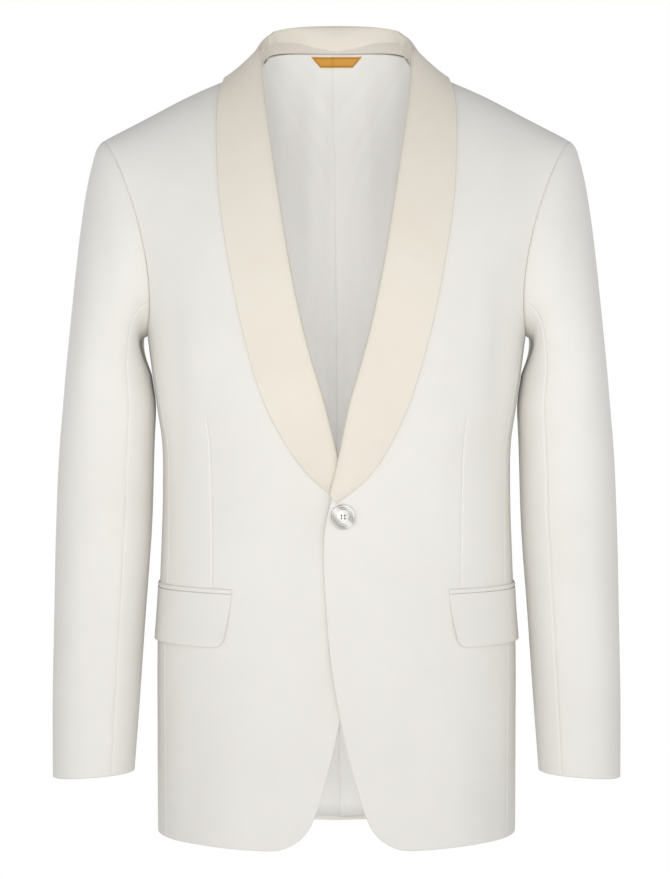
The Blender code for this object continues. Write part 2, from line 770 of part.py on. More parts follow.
def lapel_line(fold, leaf, stand, reach_back, side, body):
    """One line across the lapel: the facing's return inside the front, fold, leaf."""
    width = np.linalg.norm(form(*fold) - form(*leaf))
    low = -(CLOTH + FACING_GAP + COLLAR_CLOTH)
    high = LEAF_GAP + COLLAR_CLOTH
    profile = [
        (reach_back, low, 0.0),
        (reach_back * 0.5 + 0.0004, low, 0.0),
        (0.0004, low + 0.0011, 0.0),
        (0.0, -CLOTH / 2, 0.45),
        (0.0006, high - 0.0009, 0.9),
        (0.0030, high + 0.0003, 1.0),
    ]
    roll = min(1.0, width / 0.03) * 0.0012
    for t in np.linspace(0, 1, LEAF_POINTS + 1)[1:]:
        lift = roll * (1 - t) * (1 - 0.5 * t) + 0.1 * stand * t
        profile.append((0.0030 + (width - 0.0030) * t, high + lift, (1 - t) ** 1.3))
    line = []
    for inset, height, upright in profile:
        angle, level = fold + (leaf - fold) * inset / width
        point = form(angle, min(level, 1.0))
        normal = form_normal(angle, min(level, 1 - 1e-3))
        point = point - normal * underlap(point, side)
        if inset > FOLD_INSET and height > 0:
            point = seated(body, point, normal, 0.0)
        line.append(point + normal * height + np.array([0.0, 0.0, stand * upright]))
    return line


def make_collar(side, material, body):
    lines = []
    rows = through(np.column_stack(list(NECK.values())), 2)
    for i, row in enumerate(rows):
        lines.append(neck_line(row[:3], row[3], row[4], i / (len(rows) - 1), body))
    folds, leaves = [], []
    for fold_z, leaf_x, leaf_z in zip(LAPEL["fold_z"], LAPEL["leaf_x"], LAPEL["leaf_z"]):
        x = along(ROLL, "x", fold_z)
        folds.append(find_front(x + closing_shift(fold_z, side), fold_z))
        leaves.append(find_front(leaf_x + closing_shift(leaf_z, side), leaf_z))
    for fold, leaf, stand, reach_back in zip(folds, leaves, LAPEL["stand"], LAPEL["reach_back"]):
        lines.append(lapel_line(fold, leaf, stand, reach_back, side, body))
    face = np.array(lines)
    down = np.gradient(face, axis=0)
    down[0] = (1.0, 0.0, 0.0)
    normals = np.cross(np.gradient(face, axis=1), down)
    normals /= np.linalg.norm(normals, axis=-1, keepdims=True)
    back = face + normals * COLLAR_CLOTH
    face, back = (drawn_in(g, "bottom") for g in (face, back))
    return shell("collar_left" if side > 0 else "collar_right", face, back, side, material)


# ---------------------------------------------------------------- what lies on the panels


def patch(rows, columns, place_at):
    return np.array([[place_at(r, c) for c in range(columns)] for r in range(rows)])


def pocket_angles(side):
    """Angles along the pocket's mouth, evenly spaced from its front end."""
    start = find_front(FLAP_FRONT_X + closing_shift(FLAP_Z, side), FLAP_Z)
    angles = np.linspace(start[0], start[0] + 2.0, 400)
    points = np.array([form(a, start[1]) for a in angles])
    way = np.hstack([0, np.cumsum(np.linalg.norm(np.diff(points, axis=0), axis=1))])
    return lambda along_it: float(np.interp(along_it, way, angles))


def make_pocket(side, cloth):
    name = "left" if side > 0 else "right"
    angle_at = pocket_angles(side)
    ends = [0, 0.0015, 0.0055]
    spots = [*ends, *np.linspace(0.013, FLAP_LENGTH - 0.013, 10)]
    spots += [FLAP_LENGTH - e for e in reversed(ends)]
    rows, columns = 4, len(spots)

    def flap_at(r, c):
        near = min(spots[c], FLAP_LENGTH - spots[c])
        depth = FLAP_DEPTH
        if near < FLAP_CORNER:
            depth -= FLAP_CORNER - math.sqrt(FLAP_CORNER**2 - (FLAP_CORNER - near) ** 2)
        top = FLAP_Z + FLAP_SLOPE * spots[c] - JET_DEPTH - SEAM_GAP
        down = r / (rows - 1)
        along_it = spots[c] + FLAP_SLANT * down**2 * (1 - spots[c] / FLAP_LENGTH)
        return np.array([angle_at(along_it), level_of(top - depth * down)])

    places = patch(rows, columns, flap_at)
    outer, inner = on_form(places), on_form(places)
    for r, c in np.ndindex(rows, columns):
        normal = form_normal(*places[r, c])
        stand_off = LEAF_GAP + FLAP_FLARE * (r / (rows - 1)) ** 2
        inner[r, c] += normal * stand_off
        outer[r, c] += normal * (stand_off + FLAP_CLOTH)
    shell(f"pocket_flap_{name}", outer[::-1], inner[::-1], side, cloth)

    jet_ends = 0.003

    def jet_at(r, c):
        along_it = -jet_ends + (FLAP_LENGTH + 2 * jet_ends) * c / 12
        top = FLAP_Z + FLAP_SLOPE * along_it
        return np.array([angle_at(max(along_it, 0)), level_of(top - JET_DEPTH * (1 - r / 2))])

    places = patch(3, 13, jet_at)
    inner = on_form(places, LEAF_GAP)
    outer = on_form(places, LEAF_GAP + 0.0012)
    outer[1] += (outer[1] - inner[1]) * 0.35
    shell(f"pocket_jet_{name}", outer, inner, side, cloth)


def make_lining(side, material, wall):
    """The back lining: it ends above the hem, and shows through the neck and the fronts."""
    places, _ = back_places(side)
    normals = np.array([[form_normal(*spot) for spot in row] for row in places])
    outer = wall - normals * LAYER_GAP
    inner = outer - normals * LINING_CLOTH
    outer, inner = (drawn_in(g, "start", 0.0015) for g in (outer, inner))
    outer, inner = (drawn_in(g, "top", 0.0008) for g in (outer, inner))
    outer, inner = (drawn_in(g, "bottom", LINING_RISE) for g in (outer, inner))
    shell("lining_left" if side > 0 else "lining_right", outer, inner, side, material)
    return inner


def make_label(material, lining):
    """A blank label, sewn to the lining below the neck seam."""
    tree = tree_of(lining, lining * (-1, 1, 1))
    columns, rows = 9, 3
    outer = np.empty((rows, columns, 3))
    for r, c in np.ndindex(rows, columns):
        half = (LABEL_BOTTOM + (LABEL_TOP - LABEL_BOTTOM) * r / (rows - 1)) / 2
        x = half * (2 * c / (columns - 1) - 1)
        z = LABEL_Z - LABEL_HEIGHT * (1 - r / (rows - 1))
        outer[r, c] = seated(tree, np.array([x, NECK_BACK[1], z]), (0, -1, 0), LAYER_GAP, 0.03)
    inner = outer - (0, 0.0007, 0)
    return shell("neck_label", outer, inner, 1, material)


# ---------------------------------------------------------------- button


def cylinder(work, radius, low, high, centre, turn, sides=20, squash=1.0):
    """Adds a closed cylinder to a mesh, along `turn`'s z axis; returns nothing."""
    rings = []
    for z in (low, high):
        ring = []
        for k in range(sides):
            a = 2 * math.pi * k / sides
            local = Vector((radius * math.cos(a) * squash, radius * math.sin(a), z))
            ring.append(work.verts.new(centre + turn @ local))
        rings.append(ring)
    for k in range(sides):
        n = (k + 1) % sides
        work.faces.new([rings[0][k], rings[0][n], rings[1][n], rings[1][k]])
    work.faces.new(list(reversed(rings[0])))
    work.faces.new(rings[1])


def mesh_of(name, work):
    mesh = bpy.data.meshes.new(name)
    bmesh.ops.recalc_face_normals(work, faces=work.faces)
    work.to_mesh(mesh)
    work.free()
    return mesh


def lathe(work, profile, centre, turn, sides=48):
    """Turns a closed profile of (radius, height) pairs; the ends lie on the axis."""
    rings = []
    for radius, z in profile:
        if radius == 0:
            rings.append([work.verts.new(centre + turn @ Vector((0, 0, z)))])
            continue
        ring = []
        for k in range(sides):
            a = 2 * math.pi * k / sides
            local = Vector((radius * math.cos(a), radius * math.sin(a), z))
            ring.append(work.verts.new(centre + turn @ local))
        rings.append(ring)
    for low, high in zip(rings, rings[1:]):
        for k in range(sides):
            n = (k + 1) % sides
            corners = [low[k % len(low)], low[n % len(low)], high[n % len(high)], high[k % len(high)]]
            work.faces.new(list(dict.fromkeys(corners)))


def make_button(front, pearl, thread):
    """The closing button, its thread shank, and the buttonhole that the shank goes through."""
    where = find_front(BUTTON_X, BUTTON_Z)
    normal = Vector(form_normal(*where))
    surface = Vector(form(*where))
    turn = normal.to_track_quat("Z", "Y").to_matrix()
    base = 0.0011  # the button's back stands this far off the cloth
    profile = (
        (0, base),
        (BUTTON_RADIUS * 0.70, base),
        (BUTTON_RADIUS * 0.95, base + 0.0009),
        (BUTTON_RADIUS, base + 0.0018),
        (BUTTON_RADIUS * 0.96, base + 0.0029),
        (BUTTON_RADIUS * 0.86, base + 0.0032),
        (BUTTON_RADIUS * 0.74, base + 0.0028),
        (BUTTON_RADIUS * 0.60, base + 0.0021),
        (0, base + 0.0019),
    )
    work = bmesh.new()
    lathe(work, profile, surface, turn)
    button = place("button", mesh_of("button", work), pearl)
    work = bmesh.new()
    for k in range(4):
        a = math.pi / 4 + k * math.pi / 2
        spot = surface + turn @ Vector((0.0022 * math.cos(a), 0.0022 * math.sin(a), 0))
        cylinder(work, 0.00085, base - 0.002, base + 0.006, spot, turn, 16)
    cut(button, "button_holes", mesh_of("button_holes", work))
    work = bmesh.new()
    cylinder(work, 0.0011, -0.0034, 0.0030, surface, turn, 16, 6.0)
    cut(front, "buttonhole", mesh_of("buttonhole", work))
    depth = along(UNDERLAP, "depth", BUTTON_Z)
    work = bmesh.new()
    cylinder(work, 0.0007, -depth + 0.0012, base - 0.0003, surface, turn, 16)
    place("button_thread", mesh_of("button_thread", work), thread)


def cut(piece, name, mesh):
    cutter = bpy.data.objects.new(name, mesh)
    bpy.context.scene.collection.objects.link(cutter)
    cutter.hide_render = True
    cutter.display_type = "WIRE"
    boolean = piece.modifiers.new(name, "BOOLEAN")
    boolean.operation = "DIFFERENCE"
    boolean.solver = "EXACT"
    boolean.object = cutter


# ---------------------------------------------------------------- build


def clear_scene():
    for thing in list(bpy.data.objects):
        bpy.data.objects.remove(thing, do_unlink=True)


def main():
    clear_scene()
    ivory = principled("ivory_cloth", IVORY, 0.85)
    cream = principled("cream_cloth", CREAM, 0.75)
    lining = principled("lining", LINING, 0.45)
    gold = principled("label", GOLD, 0.55)
    pearl = principled("pearl", PEARL, 0.20)
    thread = principled("thread", IVORY, 0.70)
    fronts = []
    for side in (1, -1):
        front, *front_grids = make_front(side, ivory)
        fronts.append(front)
        make_side(side, ivory)
        back_grids = make_back(side, ivory)
        make_sleeves(side, ivory)
        make_collar(side, cream, tree_of(front_grids[0], back_grids[0]))
        make_pocket(side, ivory)
        lining_face = make_lining(side, lining, back_grids[1])
    make_label(gold, lining_face)
    make_button(fronts[0], pearl, thread)


main()
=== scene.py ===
"""The looks of a man's ivory dinner jacket with a cream shawl collar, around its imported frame.

Every cloth piece is a thin shell on the form that its CAD solid has, with soft folds, seam
grooves and rolled edges. Metres, +Z up, the front faces -Y and the wearer's left is +X. Most
functions work on the wearer's left half; `side` is +1 for the left half and -1 for the right.
"""

import functools
import math

import bmesh
import bpy
import numpy as np
from mathutils import Matrix, Vector
from mathutils.bvhtree import BVHTree


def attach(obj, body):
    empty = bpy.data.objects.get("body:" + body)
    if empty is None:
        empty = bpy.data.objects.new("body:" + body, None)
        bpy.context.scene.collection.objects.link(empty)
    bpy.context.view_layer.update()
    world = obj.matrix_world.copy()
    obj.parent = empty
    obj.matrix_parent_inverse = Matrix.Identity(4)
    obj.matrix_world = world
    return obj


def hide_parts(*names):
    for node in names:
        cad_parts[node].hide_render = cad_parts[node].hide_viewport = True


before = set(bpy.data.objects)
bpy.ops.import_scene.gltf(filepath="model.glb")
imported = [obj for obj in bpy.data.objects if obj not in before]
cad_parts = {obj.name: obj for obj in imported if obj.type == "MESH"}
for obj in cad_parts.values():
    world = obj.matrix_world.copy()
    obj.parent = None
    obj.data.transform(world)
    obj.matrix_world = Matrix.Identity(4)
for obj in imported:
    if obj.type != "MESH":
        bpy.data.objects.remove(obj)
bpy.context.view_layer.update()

# ---------------------------------------------------------------- dimensions, as in the CAD

CLOTH, COLLAR_CLOTH, LINING_CLOTH, FLAP_CLOTH = 0.0022, 0.0016, 0.0010, 0.0014
SEAM_GAP, LAYER_GAP, LEAF_GAP, FACING_GAP = 0.0003, 0.0004, 0.0009, 0.0009
ARMPIT_Z, BODY_DROP = -0.262, 0.500
SHOULDER_REACH, RIDGE_REACH, NECK_HALF, RIDGE_Y = 0.2255, 0.240, 0.0755, 0.006
NECK_BACK = (0.0, 0.074, 0.020)
CENTRE_SHIFT = 0.0035
FRONT_SEAM, BACK_SEAM = math.radians(69), math.radians(118)
FLAP_LENGTH, FLAP_DEPTH, FLAP_CORNER = 0.150, 0.050, 0.011
FLAP_FRONT_X, FLAP_Z, FLAP_SLOPE, FLAP_SLANT, FLAP_FLARE = 0.1015, -0.5025, 0.030, 0.005, 0.0014
JET_DEPTH = 0.0045
BUTTON_RADIUS, BUTTON_X, BUTTON_Z = 0.0115, 0.0060, -0.4343
LABEL_TOP, LABEL_BOTTOM, LABEL_HEIGHT, LABEL_Z = 0.051, 0.032, 0.0105, 0.0170
LINING_RISE = 0.006
LOWER_ROWS, ARM_STEPS, SIDE_STEPS = 12, 12, 2
PANEL_ROWS = LOWER_ROWS + ARM_STEPS - SIDE_STEPS
CAP_ROWS, ARM_ROWS, FOREARM_STEP, ELBOW_STEP = 5, 7, 4, 5
CORNER_RADIUS, CORNER_X = 0.044, 0.067
FOLD_INSET, LEAF_POINTS = 0.0032, 6
DART_TOP, DART_FOOT = (0.1250, -0.325), (0.1175, -0.4995)
DART_DEPTH, DART_HALF_WIDTH, FRONT_WIDTH = 0.0007, 0.0022, 0.17

# What only the looks have: grooves at the seams, the lining's lap and pleats, thin cloths.
SEAM_DIP, SEAM_SOFT, LOOK_GAP = 0.00055, 0.0020, 0.00004
LINING_LAP, LAP_DEPTH = 0.055, 0.0016
LAP_SLANT = (0.083, 0.055)  # how far the left half's edge is drawn back at the hem, less at the top
PLEATS = ((0.016, 0.007, 0.0016), (0.044, 0.011, 0.0021), (0.083, 0.013, 0.0018))
JET_CLOTH, LABEL_CLOTH = 0.0011, 0.0007
BUTTON_STAND, HOLE_AT, HOLE_RADIUS = 0.0011, 0.00156, 0.00085
THREAD_RADIUS, THREAD_SPREAD, SHANK_RADIUS = 0.00021, 0.00022, 0.0007
BUTTONHOLE_HALF, STITCHES, STITCH_LENGTH, STITCH_RADIUS = (0.0072, 0.0017), 64, 0.0009, 0.0001
SHEET_LEAST = 0.0101  # a declared sheet's shortest side
SPACING = 0.0048  # between the points of a panel


def table(columns, *rows):
    """A short table: each column's name with its values down the rows."""
    return dict(zip(columns.split(), np.array(rows, float).T))


BODY = table(
    "z half_width front back squareness",
    (-0.762, 0.1725, 0.126, 0.126, 2.6),
    (-0.650, 0.1730, 0.128, 0.131, 2.6),
    (-0.550, 0.1728, 0.127, 0.126, 2.6),
    (-0.480, 0.1700, 0.124, 0.114, 2.5),
    (-0.410, 0.1680, 0.123, 0.107, 2.45),
    (-0.362, 0.1690, 0.124, 0.109, 2.4),
    (-0.330, 0.1738, 0.126, 0.113, 2.4),
    (-0.300, 0.1780, 0.127, 0.118, 2.4),
    (-0.262, 0.1830, 0.129, 0.124, 2.4),
)
SHOULDER = table(
    "x z",
    (0.0755, 0.0000),
    (0.1090, -0.0136),
    (0.1440, -0.0290),
    (0.1860, -0.0510),
    (0.2255, -0.0715),
    (0.2400, -0.0795),
)
FRONT_EDGE = table(
    "z x",
    (-0.7372, 0.0390),
    (-0.7290, 0.0314),
    (-0.7130, 0.0234),
    (-0.6910, 0.0162),
    (-0.6610, 0.0082),
    (-0.6310, 0.0014),
    (-0.5810, -0.0076),
    (-0.5220, -0.0134),
    (-0.4740, -0.0158),
    (-0.4460, -0.0152),
    (-0.4150, -0.0102),
    (-0.3780, 0.0000),
)
ROLL = table(
    "z x",
    (-0.4150, -0.0102),
    (-0.3780, 0.0000),
    (-0.3260, 0.0121),
    (-0.2800, 0.0256),
    (-0.2120, 0.0410),
    (-0.1500, 0.0515),
    (-0.0930, 0.0604),
    (-0.0520, 0.0665),
    (-0.0190, 0.0705),
    (0.0000, 0.0725),
)
HEM = table(
    "angle z",
    (0, -0.7465),
    (35, -0.7460),
    (60, -0.7420),
    (90, -0.7385),
    (130, -0.7425),
    (180, -0.7455),
)
ARMHOLE_FRONT = ((90.0, 0.0), (66.0, -0.01), (64.0, 0.42))
ARMHOLE_BACK = ((90.0, 0.0), (119.0, 0.0), (116.0, 0.46))
SLEEVE = table(
    "z inner outer middle half_depth tilt",
    (-0.6785, 0.1935, 0.2712, -0.042, 0.0500, 0.07),
    (-0.6080, 0.1888, 0.2722, -0.032, 0.0540, 0.05),
    (-0.5300, 0.1840, 0.2715, -0.022, 0.0580, 0.03),
    (-0.4460, 0.1785, 0.2705, -0.012, 0.0625, 0.01),
    (-0.3620, 0.1763, 0.2672, -0.004, 0.0670, 0.00),
    (-0.3320, 0.1753, 0.2648, -0.001, 0.0700, 0.00),
    (-0.3000, 0.1792, 0.2624, 0.002, 0.0730, 0.00),
)
SLEEVE_SQUARENESS = 2.25
NECK = table(
    "fold_x fold_y fold_z leaf_x leaf_level",
    (0.0000, 0.0850, 0.0480, 0.0000, 0.900),
    (0.0290, 0.0810, 0.0470, 0.0360, 0.905),
    (0.0530, 0.0665, 0.0430, 0.0690, 0.920),
    (0.0680, 0.0430, 0.0340, 0.0930, 0.950),
    (0.0735, 0.0160, 0.0205, 0.1055, 0.985),
)
LAPEL = table(
    "fold_z leaf_x leaf_z stand reach_back",
    (-0.0008, 0.1072, -0.0142, 0.0150, 0.0016),
    (-0.0030, 0.1095, -0.0200, 0.0130, 0.0016),
    (-0.0090, 0.1125, -0.0330, 0.0090, 0.0020),
    (-0.0220, 0.1140, -0.0560, 0.0045, 0.0040),
    (-0.0440, 0.1135, -0.0840, 0.0022, 0.0070),
    (-0.0740, 0.1120, -0.1150, 0.0010, 0.0090),
    (-0.1100, 0.1085, -0.1490, 0.0, 0.0100),
    (-0.1500, 0.1030, -0.1840, 0.0, 0.0100),
    (-0.1900, 0.0965, -0.2190, 0.0, 0.0100),
    (-0.2280, 0.0896, -0.2520, 0.0, 0.0100),
    (-0.2620, 0.0826, -0.2805, 0.0, 0.0100),
    (-0.2920, 0.0748, -0.3080, 0.0, 0.0100),
    (-0.3200, 0.0652, -0.3345, 0.0, 0.0100),
    (-0.3460, 0.0532, -0.3590, 0.0, 0.0100),
    (-0.3700, 0.0402, -0.3810, 0.0, 0.0090),
    (-0.3930, 0.0228, -0.4020, 0.0, 0.0080),
    (-0.4140, -0.0030, -0.4220, 0.0, 0.0060),
)
UNDERLAP = table(
    "z depth",
    (-0.762, 0.0),
    (-0.700, 0.0),
    (-0.640, 0.0040),
    (-0.590, 0.0050),
    (-0.460, 0.0052),
    (-0.425, 0.0085),
    (-0.365, 0.0085),
    (-0.240, 0.0),
    (0.020, 0.0),
)
UNDERLAP_FULL, UNDERLAP_END = 0.020, 0.075

# Soft folds of the cloth, each a line from one point to another as seen from the front, its
# half width and its height (a trough is below 0). The last figure is -1 in front, +1 behind.
FOLDS = (
    # drag from the button up to the chest and down over the hips
    (0.012, -0.440, 0.105, -0.520, 0.011, -0.0011, -1),
    (0.010, -0.450, 0.070, -0.585, 0.013, 0.0009, -1),
    (-0.015, -0.440, -0.100, -0.505, 0.012, -0.0010, -1),
    (-0.012, -0.452, -0.065, -0.600, 0.014, 0.0008, -1),
    (0.020, -0.425, 0.095, -0.385, 0.012, 0.0008, -1),
    (-0.020, -0.425, -0.090, -0.375, 0.012, 0.0009, -1),
    # the skirts hang in shallow flutes
    (0.062, -0.560, 0.078, -0.752, 0.013, -0.0013, -1),
    (0.036, -0.560, 0.050, -0.752, 0.014, 0.0012, -1),
    (0.108, -0.600, 0.118, -0.752, 0.013, 0.0013, -1),
    (0.146, -0.590, 0.148, -0.752, 0.011, -0.0011, -1),
    (-0.056, -0.580, -0.070, -0.752, 0.014, -0.0014, -1),
    (-0.094, -0.590, -0.100, -0.752, 0.015, 0.0012, -1),
    (-0.132, -0.600, -0.136, -0.752, 0.012, -0.0012, -1),
    # below the armholes, and down the chest from the shoulder
    (0.158, -0.215, 0.150, -0.400, 0.010, -0.0013, -1),
    (0.143, -0.200, 0.134, -0.350, 0.012, 0.0010, -1),
    (-0.156, -0.220, -0.148, -0.410, 0.010, -0.0014, -1),
    (-0.140, -0.190, -0.130, -0.340, 0.013, 0.0010, -1),
    (0.128, -0.070, 0.140, -0.180, 0.014, -0.0009, -1),
    (-0.130, -0.075, -0.142, -0.200, 0.015, -0.0009, -1),
    (0.100, -0.330, 0.095, -0.480, 0.012, 0.0007, -1),
    (-0.100, -0.320, -0.092, -0.470, 0.012, 0.0008, -1),
    # the back: over the shoulder blades, the small of the back, the skirt
    (0.120, -0.110, 0.105, -0.260, 0.016, -0.0014, 1),
    (-0.122, -0.105, -0.104, -0.280, 0.016, -0.0013, 1),
    (0.030, -0.050, 0.085, -0.072, 0.012, -0.0011, 1),
    (-0.030, -0.052, -0.088, -0.070, 0.012, -0.0012, 1),
    (0.040, -0.375, 0.130, -0.345, 0.012, -0.0015, 1),
    (-0.035, -0.385, -0.128, -0.352, 0.013, -0.0014, 1),
    (0.035, -0.405, 0.120, -0.395, 0.011, 0.0011, 1),
    (-0.040, -0.410, -0.125, -0.400, 0.011, 0.0010, 1),
    (0.062, -0.520, 0.074, -0.748, 0.015, -0.0016, 1),
    (-0.058, -0.500, -0.072, -0.748, 0.016, -0.0015, 1),
    (0.112, -0.540, 0.122, -0.748, 0.014, 0.0014, 1),
    (-0.114, -0.560, -0.120, -0.748, 0.013, 0.0014, 1),
    # sleeves, left then right: below the cap, at the elbow, along the forearm
    (0.232, -0.110, 0.214, -0.260, 0.010, -0.0011, -1),
    (0.246, -0.140, 0.240, -0.330, 0.011, 0.0010, -1),
    (0.188, -0.395, 0.236, -0.420, 0.010, -0.0013, -1),
    (0.190, -0.425, 0.244, -0.452, 0.010, 0.0011, -1),
    (0.190, -0.455, 0.226, -0.478, 0.009, -0.0011, -1),
    (0.222, -0.470, 0.226, -0.640, 0.011, -0.0011, -1),
    (0.246, -0.430, 0.250, -0.600, 0.010, 0.0009, -1),
    (-0.230, -0.115, -0.212, -0.280, 0.010, -0.0012, -1),
    (-0.247, -0.150, -0.238, -0.340, 0.011, 0.0009, -1),
    (-0.187, -0.385, -0.238, -0.408, 0.010, -0.0012, -1),
    (-0.190, -0.415, -0.246, -0.444, 0.010, 0.0012, -1),
    (-0.190, -0.450, -0.230, -0.470, 0.009, -0.0012, -1),
    (-0.224, -0.465, -0.230, -0.650, 0.011, -0.0012, -1),
    (-0.250, -0.420, -0.252, -0.590, 0.010, 0.0008, -1),
    (0.236, -0.130, 0.222, -0.300, 0.012, -0.0013, 1),
    (0.196, -0.410, 0.262, -0.395, 0.012, -0.0016, 1),
    (0.196, -0.445, 0.260, -0.432, 0.012, 0.0013, 1),
    (0.238, -0.480, 0.236, -0.650, 0.012, -0.0012, 1),
    (-0.236, -0.130, -0.220, -0.290, 0.012, -0.0012, 1),
    (-0.196, -0.400, -0.262, -0.388, 0.012, -0.0015, 1),
    (-0.198, -0.438, -0.260, -0.428, 0.012, 0.0012, 1),
    (-0.236, -0.475, -0.238, -0.660, 0.012, -0.0012, 1),
)


# ---------------------------------------------------------------- curves


def joined(values, slopes, steps, i, t):
    """The cubic between values i and i + 1 that has the given slopes there."""
    return (
        values[i] * (1 + 2 * t) * (1 - t) ** 2
        + slopes[i] * steps[i] * t * (1 - t) ** 2
        + values[i + 1] * t * t * (3 - 2 * t)
        - slopes[i + 1] * steps[i] * t * t * (1 - t)
    )


def middle_slopes(rises, steps):
    weight = steps[1:] / (steps[:-1] + steps[1:])
    return rises[:-1] * weight + rises[1:] * (1 - weight)


def along(values, column, at):
    """The smooth value of a table's column at `at` on the table's first column."""
    knots, heights = next(iter(values.values())), values[column]
    at = np.clip(at, knots[0], knots[-1])
    i = np.clip(np.searchsorted(knots, at) - 1, 0, len(knots) - 2)
    steps = np.diff(knots)
    rises = np.diff(heights) / steps
    middle = np.where(rises[:-1] * rises[1:] > 0, middle_slopes(rises, steps), 0)
    slopes = np.hstack([rises[0], middle, rises[-1]])
    return joined(heights, slopes, steps, i, (at - knots[i]) / steps[i])


def bezier(handles, t):
    a, b, c, d = (np.asarray(h, float) for h in handles)
    t = np.asarray(t, float)[..., None]
    return (1 - t) ** 3 * a + 3 * t * (1 - t) ** 2 * b + 3 * t * t * (1 - t) * c + t**3 * d


def ease(low, high, at):
    """0 before low, 1 after high, smooth between."""
    t = np.clip((at - low) / (high - low), 0, 1)
    return t * t * (3 - 2 * t)


def unit(vectors):
    return vectors / np.linalg.norm(vectors, axis=-1, keepdims=True)


def smooth(points, at):
    """A smooth line through points at fractional places in their list, along its first axis."""
    way = np.diff(points, axis=0)
    steps = np.maximum(np.linalg.norm(way, axis=-1, keepdims=True), 1e-9)
    rises = way / steps
    slopes = np.concatenate([rises[:1], middle_slopes(rises, steps), rises[-1:]])
    at = np.asarray(at, float)
    i = np.clip(at.astype(int), 0, len(points) - 2)
    return joined(points, slopes, steps, i, (at - i).reshape(-1, *[1] * (points.ndim - 1)))


def spread(length, spacing, low=True, high=True):
    """Shares of a length, evenly spaced, and closer together near its chosen ends."""
    near = np.array([0, 0.0004, 0.0009, 0.0015, 0.0024, 0.0040, 0.0066]) / length
    start = near if low else near[:1]
    end = 1 - near[::-1] if high else np.ones(1)
    count = max(int((end[0] - start[-1]) * length / spacing), 2)
    return np.hstack([start, np.linspace(start[-1], end[0], count + 1)[1:-1], end])


# ---------------------------------------------------------------- the form of the body


def section(angle, z):
    """A point of the body's outline at height z, at an angle round from centre front."""
    width, power = along(BODY, "half_width", z), along(BODY, "squareness", z)
    across, ahead = np.sin(angle), np.cos(angle)
    depth = np.where(ahead > 0, along(BODY, "front", z), along(BODY, "back", z))
    reach = (abs(across / width) ** power + abs(ahead / depth) ** power) ** (-1 / power)
    return np.stack([reach * across, -reach * ahead, z + 0 * reach], -1)


def shoulder_top(x, behind):
    """A point of the body's upper edge and the handle below it: shoulder seam, then neck."""
    out = abs(x)
    ridge = np.stack([x, RIDGE_Y + 0 * x, along(SHOULDER, "z", out)], -1)
    share = np.minimum(out / NECK_HALF, 1.0)
    over = ease(0.55, 1.5, out / NECK_HALF)
    rise = np.sqrt(1 - share**2.2)
    up = NECK_BACK[2] * (1 - (1 - rise) ** 1.7)
    nape = ridge + np.stack([0 * x, (NECK_BACK[1] - RIDGE_Y) * rise, up], -1)
    handle = np.stack([0 * x, 0.012 + 0.055 * over, -0.050 + 0.040 * over], -1)
    behind = np.asarray(behind)[..., None]
    top = np.where(behind, nape, ridge)
    return top, top + np.where(behind, handle, (0, -0.058, -0.010))


def form(angle, level):
    """A point of the form: level -1 to 0 is hem to armpit, 0 to 1 is armpit to upper edge."""
    angle, level = np.broadcast_arrays(np.asarray(angle, float), np.asarray(level, float))
    low = section(angle, ARMPIT_Z + np.minimum(level, 0) * BODY_DROP)
    foot = section(angle, ARMPIT_Z + 0 * level)
    rise = foot - section(angle, ARMPIT_Z - 0.01 + 0 * level)
    reach = foot[..., 0] / BODY["half_width"][-1] * RIDGE_REACH
    top, handle = shoulder_top(reach, np.cos(angle) < 0)
    length = 0.42 * (top[..., 2:] - foot[..., 2:])
    up = foot + rise / rise[..., 2:] * length
    return np.where((level <= 0)[..., None], low, bezier((foot, up, handle, top), np.maximum(level, 0)))


def form_normal(angle, level):
    """The form's outward direction, shared by front and back near the shoulder seam."""
    d = 1e-3
    angle, level = np.broadcast_arrays(np.asarray(angle, float), np.asarray(level, float))
    low = np.minimum(level, 1 - 2 * d)
    round_it = form(angle + d, low) - form(angle - d, low)
    own = unit(np.cross(round_it, form(angle, low + d) - form(angle, low - d)))
    x = form(angle, 1.0 + 0 * level)[..., 0]
    top, handle = shoulder_top(x, x == x)
    ahead = shoulder_top(x, x != x)[1] - top
    across = unit(handle - top) - unit(ahead)
    onward = shoulder_top(x + d, x != x)[0] - shoulder_top(x - d, x != x)[0]
    share = ease(0.90, 1.0, level) * (x > NECK_HALF - 1e-4)
    return unit(own + (unit(np.cross(onward, across)) - own) * share[..., None])


@functools.lru_cache(None)
def find_angle(x, level, behind=False):
    """The angle at which the form reaches out to x at a level."""
    low, high = (math.pi, math.pi / 2) if behind else (0.0, math.pi / 2)
    for _ in range(40):
        middle = (low + high) / 2
        low, high = (middle, high) if form(middle, level)[0] < x else (low, middle)
    return low


def find_front(x, z):
    """The angles and levels at which the form's front shows at x and z from the front."""
    x, z = np.broadcast_arrays(np.asarray(x, float), np.asarray(z, float))
    angle = np.arcsin(np.clip(x / 0.19, -0.9, 0.9))
    level = np.where(z < ARMPIT_Z, level_of(z), np.minimum((z - ARMPIT_Z) / -ARMPIT_Z, 0.95))
    d = 1e-4
    for _ in range(25):
        here = form(angle, level)
        turned = (form(angle + d, level) - here) / d
        raised = (here - form(angle, level - d)) / d
        right, up = x - here[..., 0], z - here[..., 2]
        whole = turned[..., 0] * raised[..., 2] - raised[..., 0] * turned[..., 2]
        angle = angle + np.clip((right * raised[..., 2] - raised[..., 0] * up) / whole, -0.2, 0.2)
        rise = np.clip((turned[..., 0] * up - right * turned[..., 2]) / whole, -0.2, 0.2)
        level = np.minimum(level + rise, 1.0)
    return np.stack([angle, level], -1)


def level_of(z):
    return (z - ARMPIT_Z) / BODY_DROP


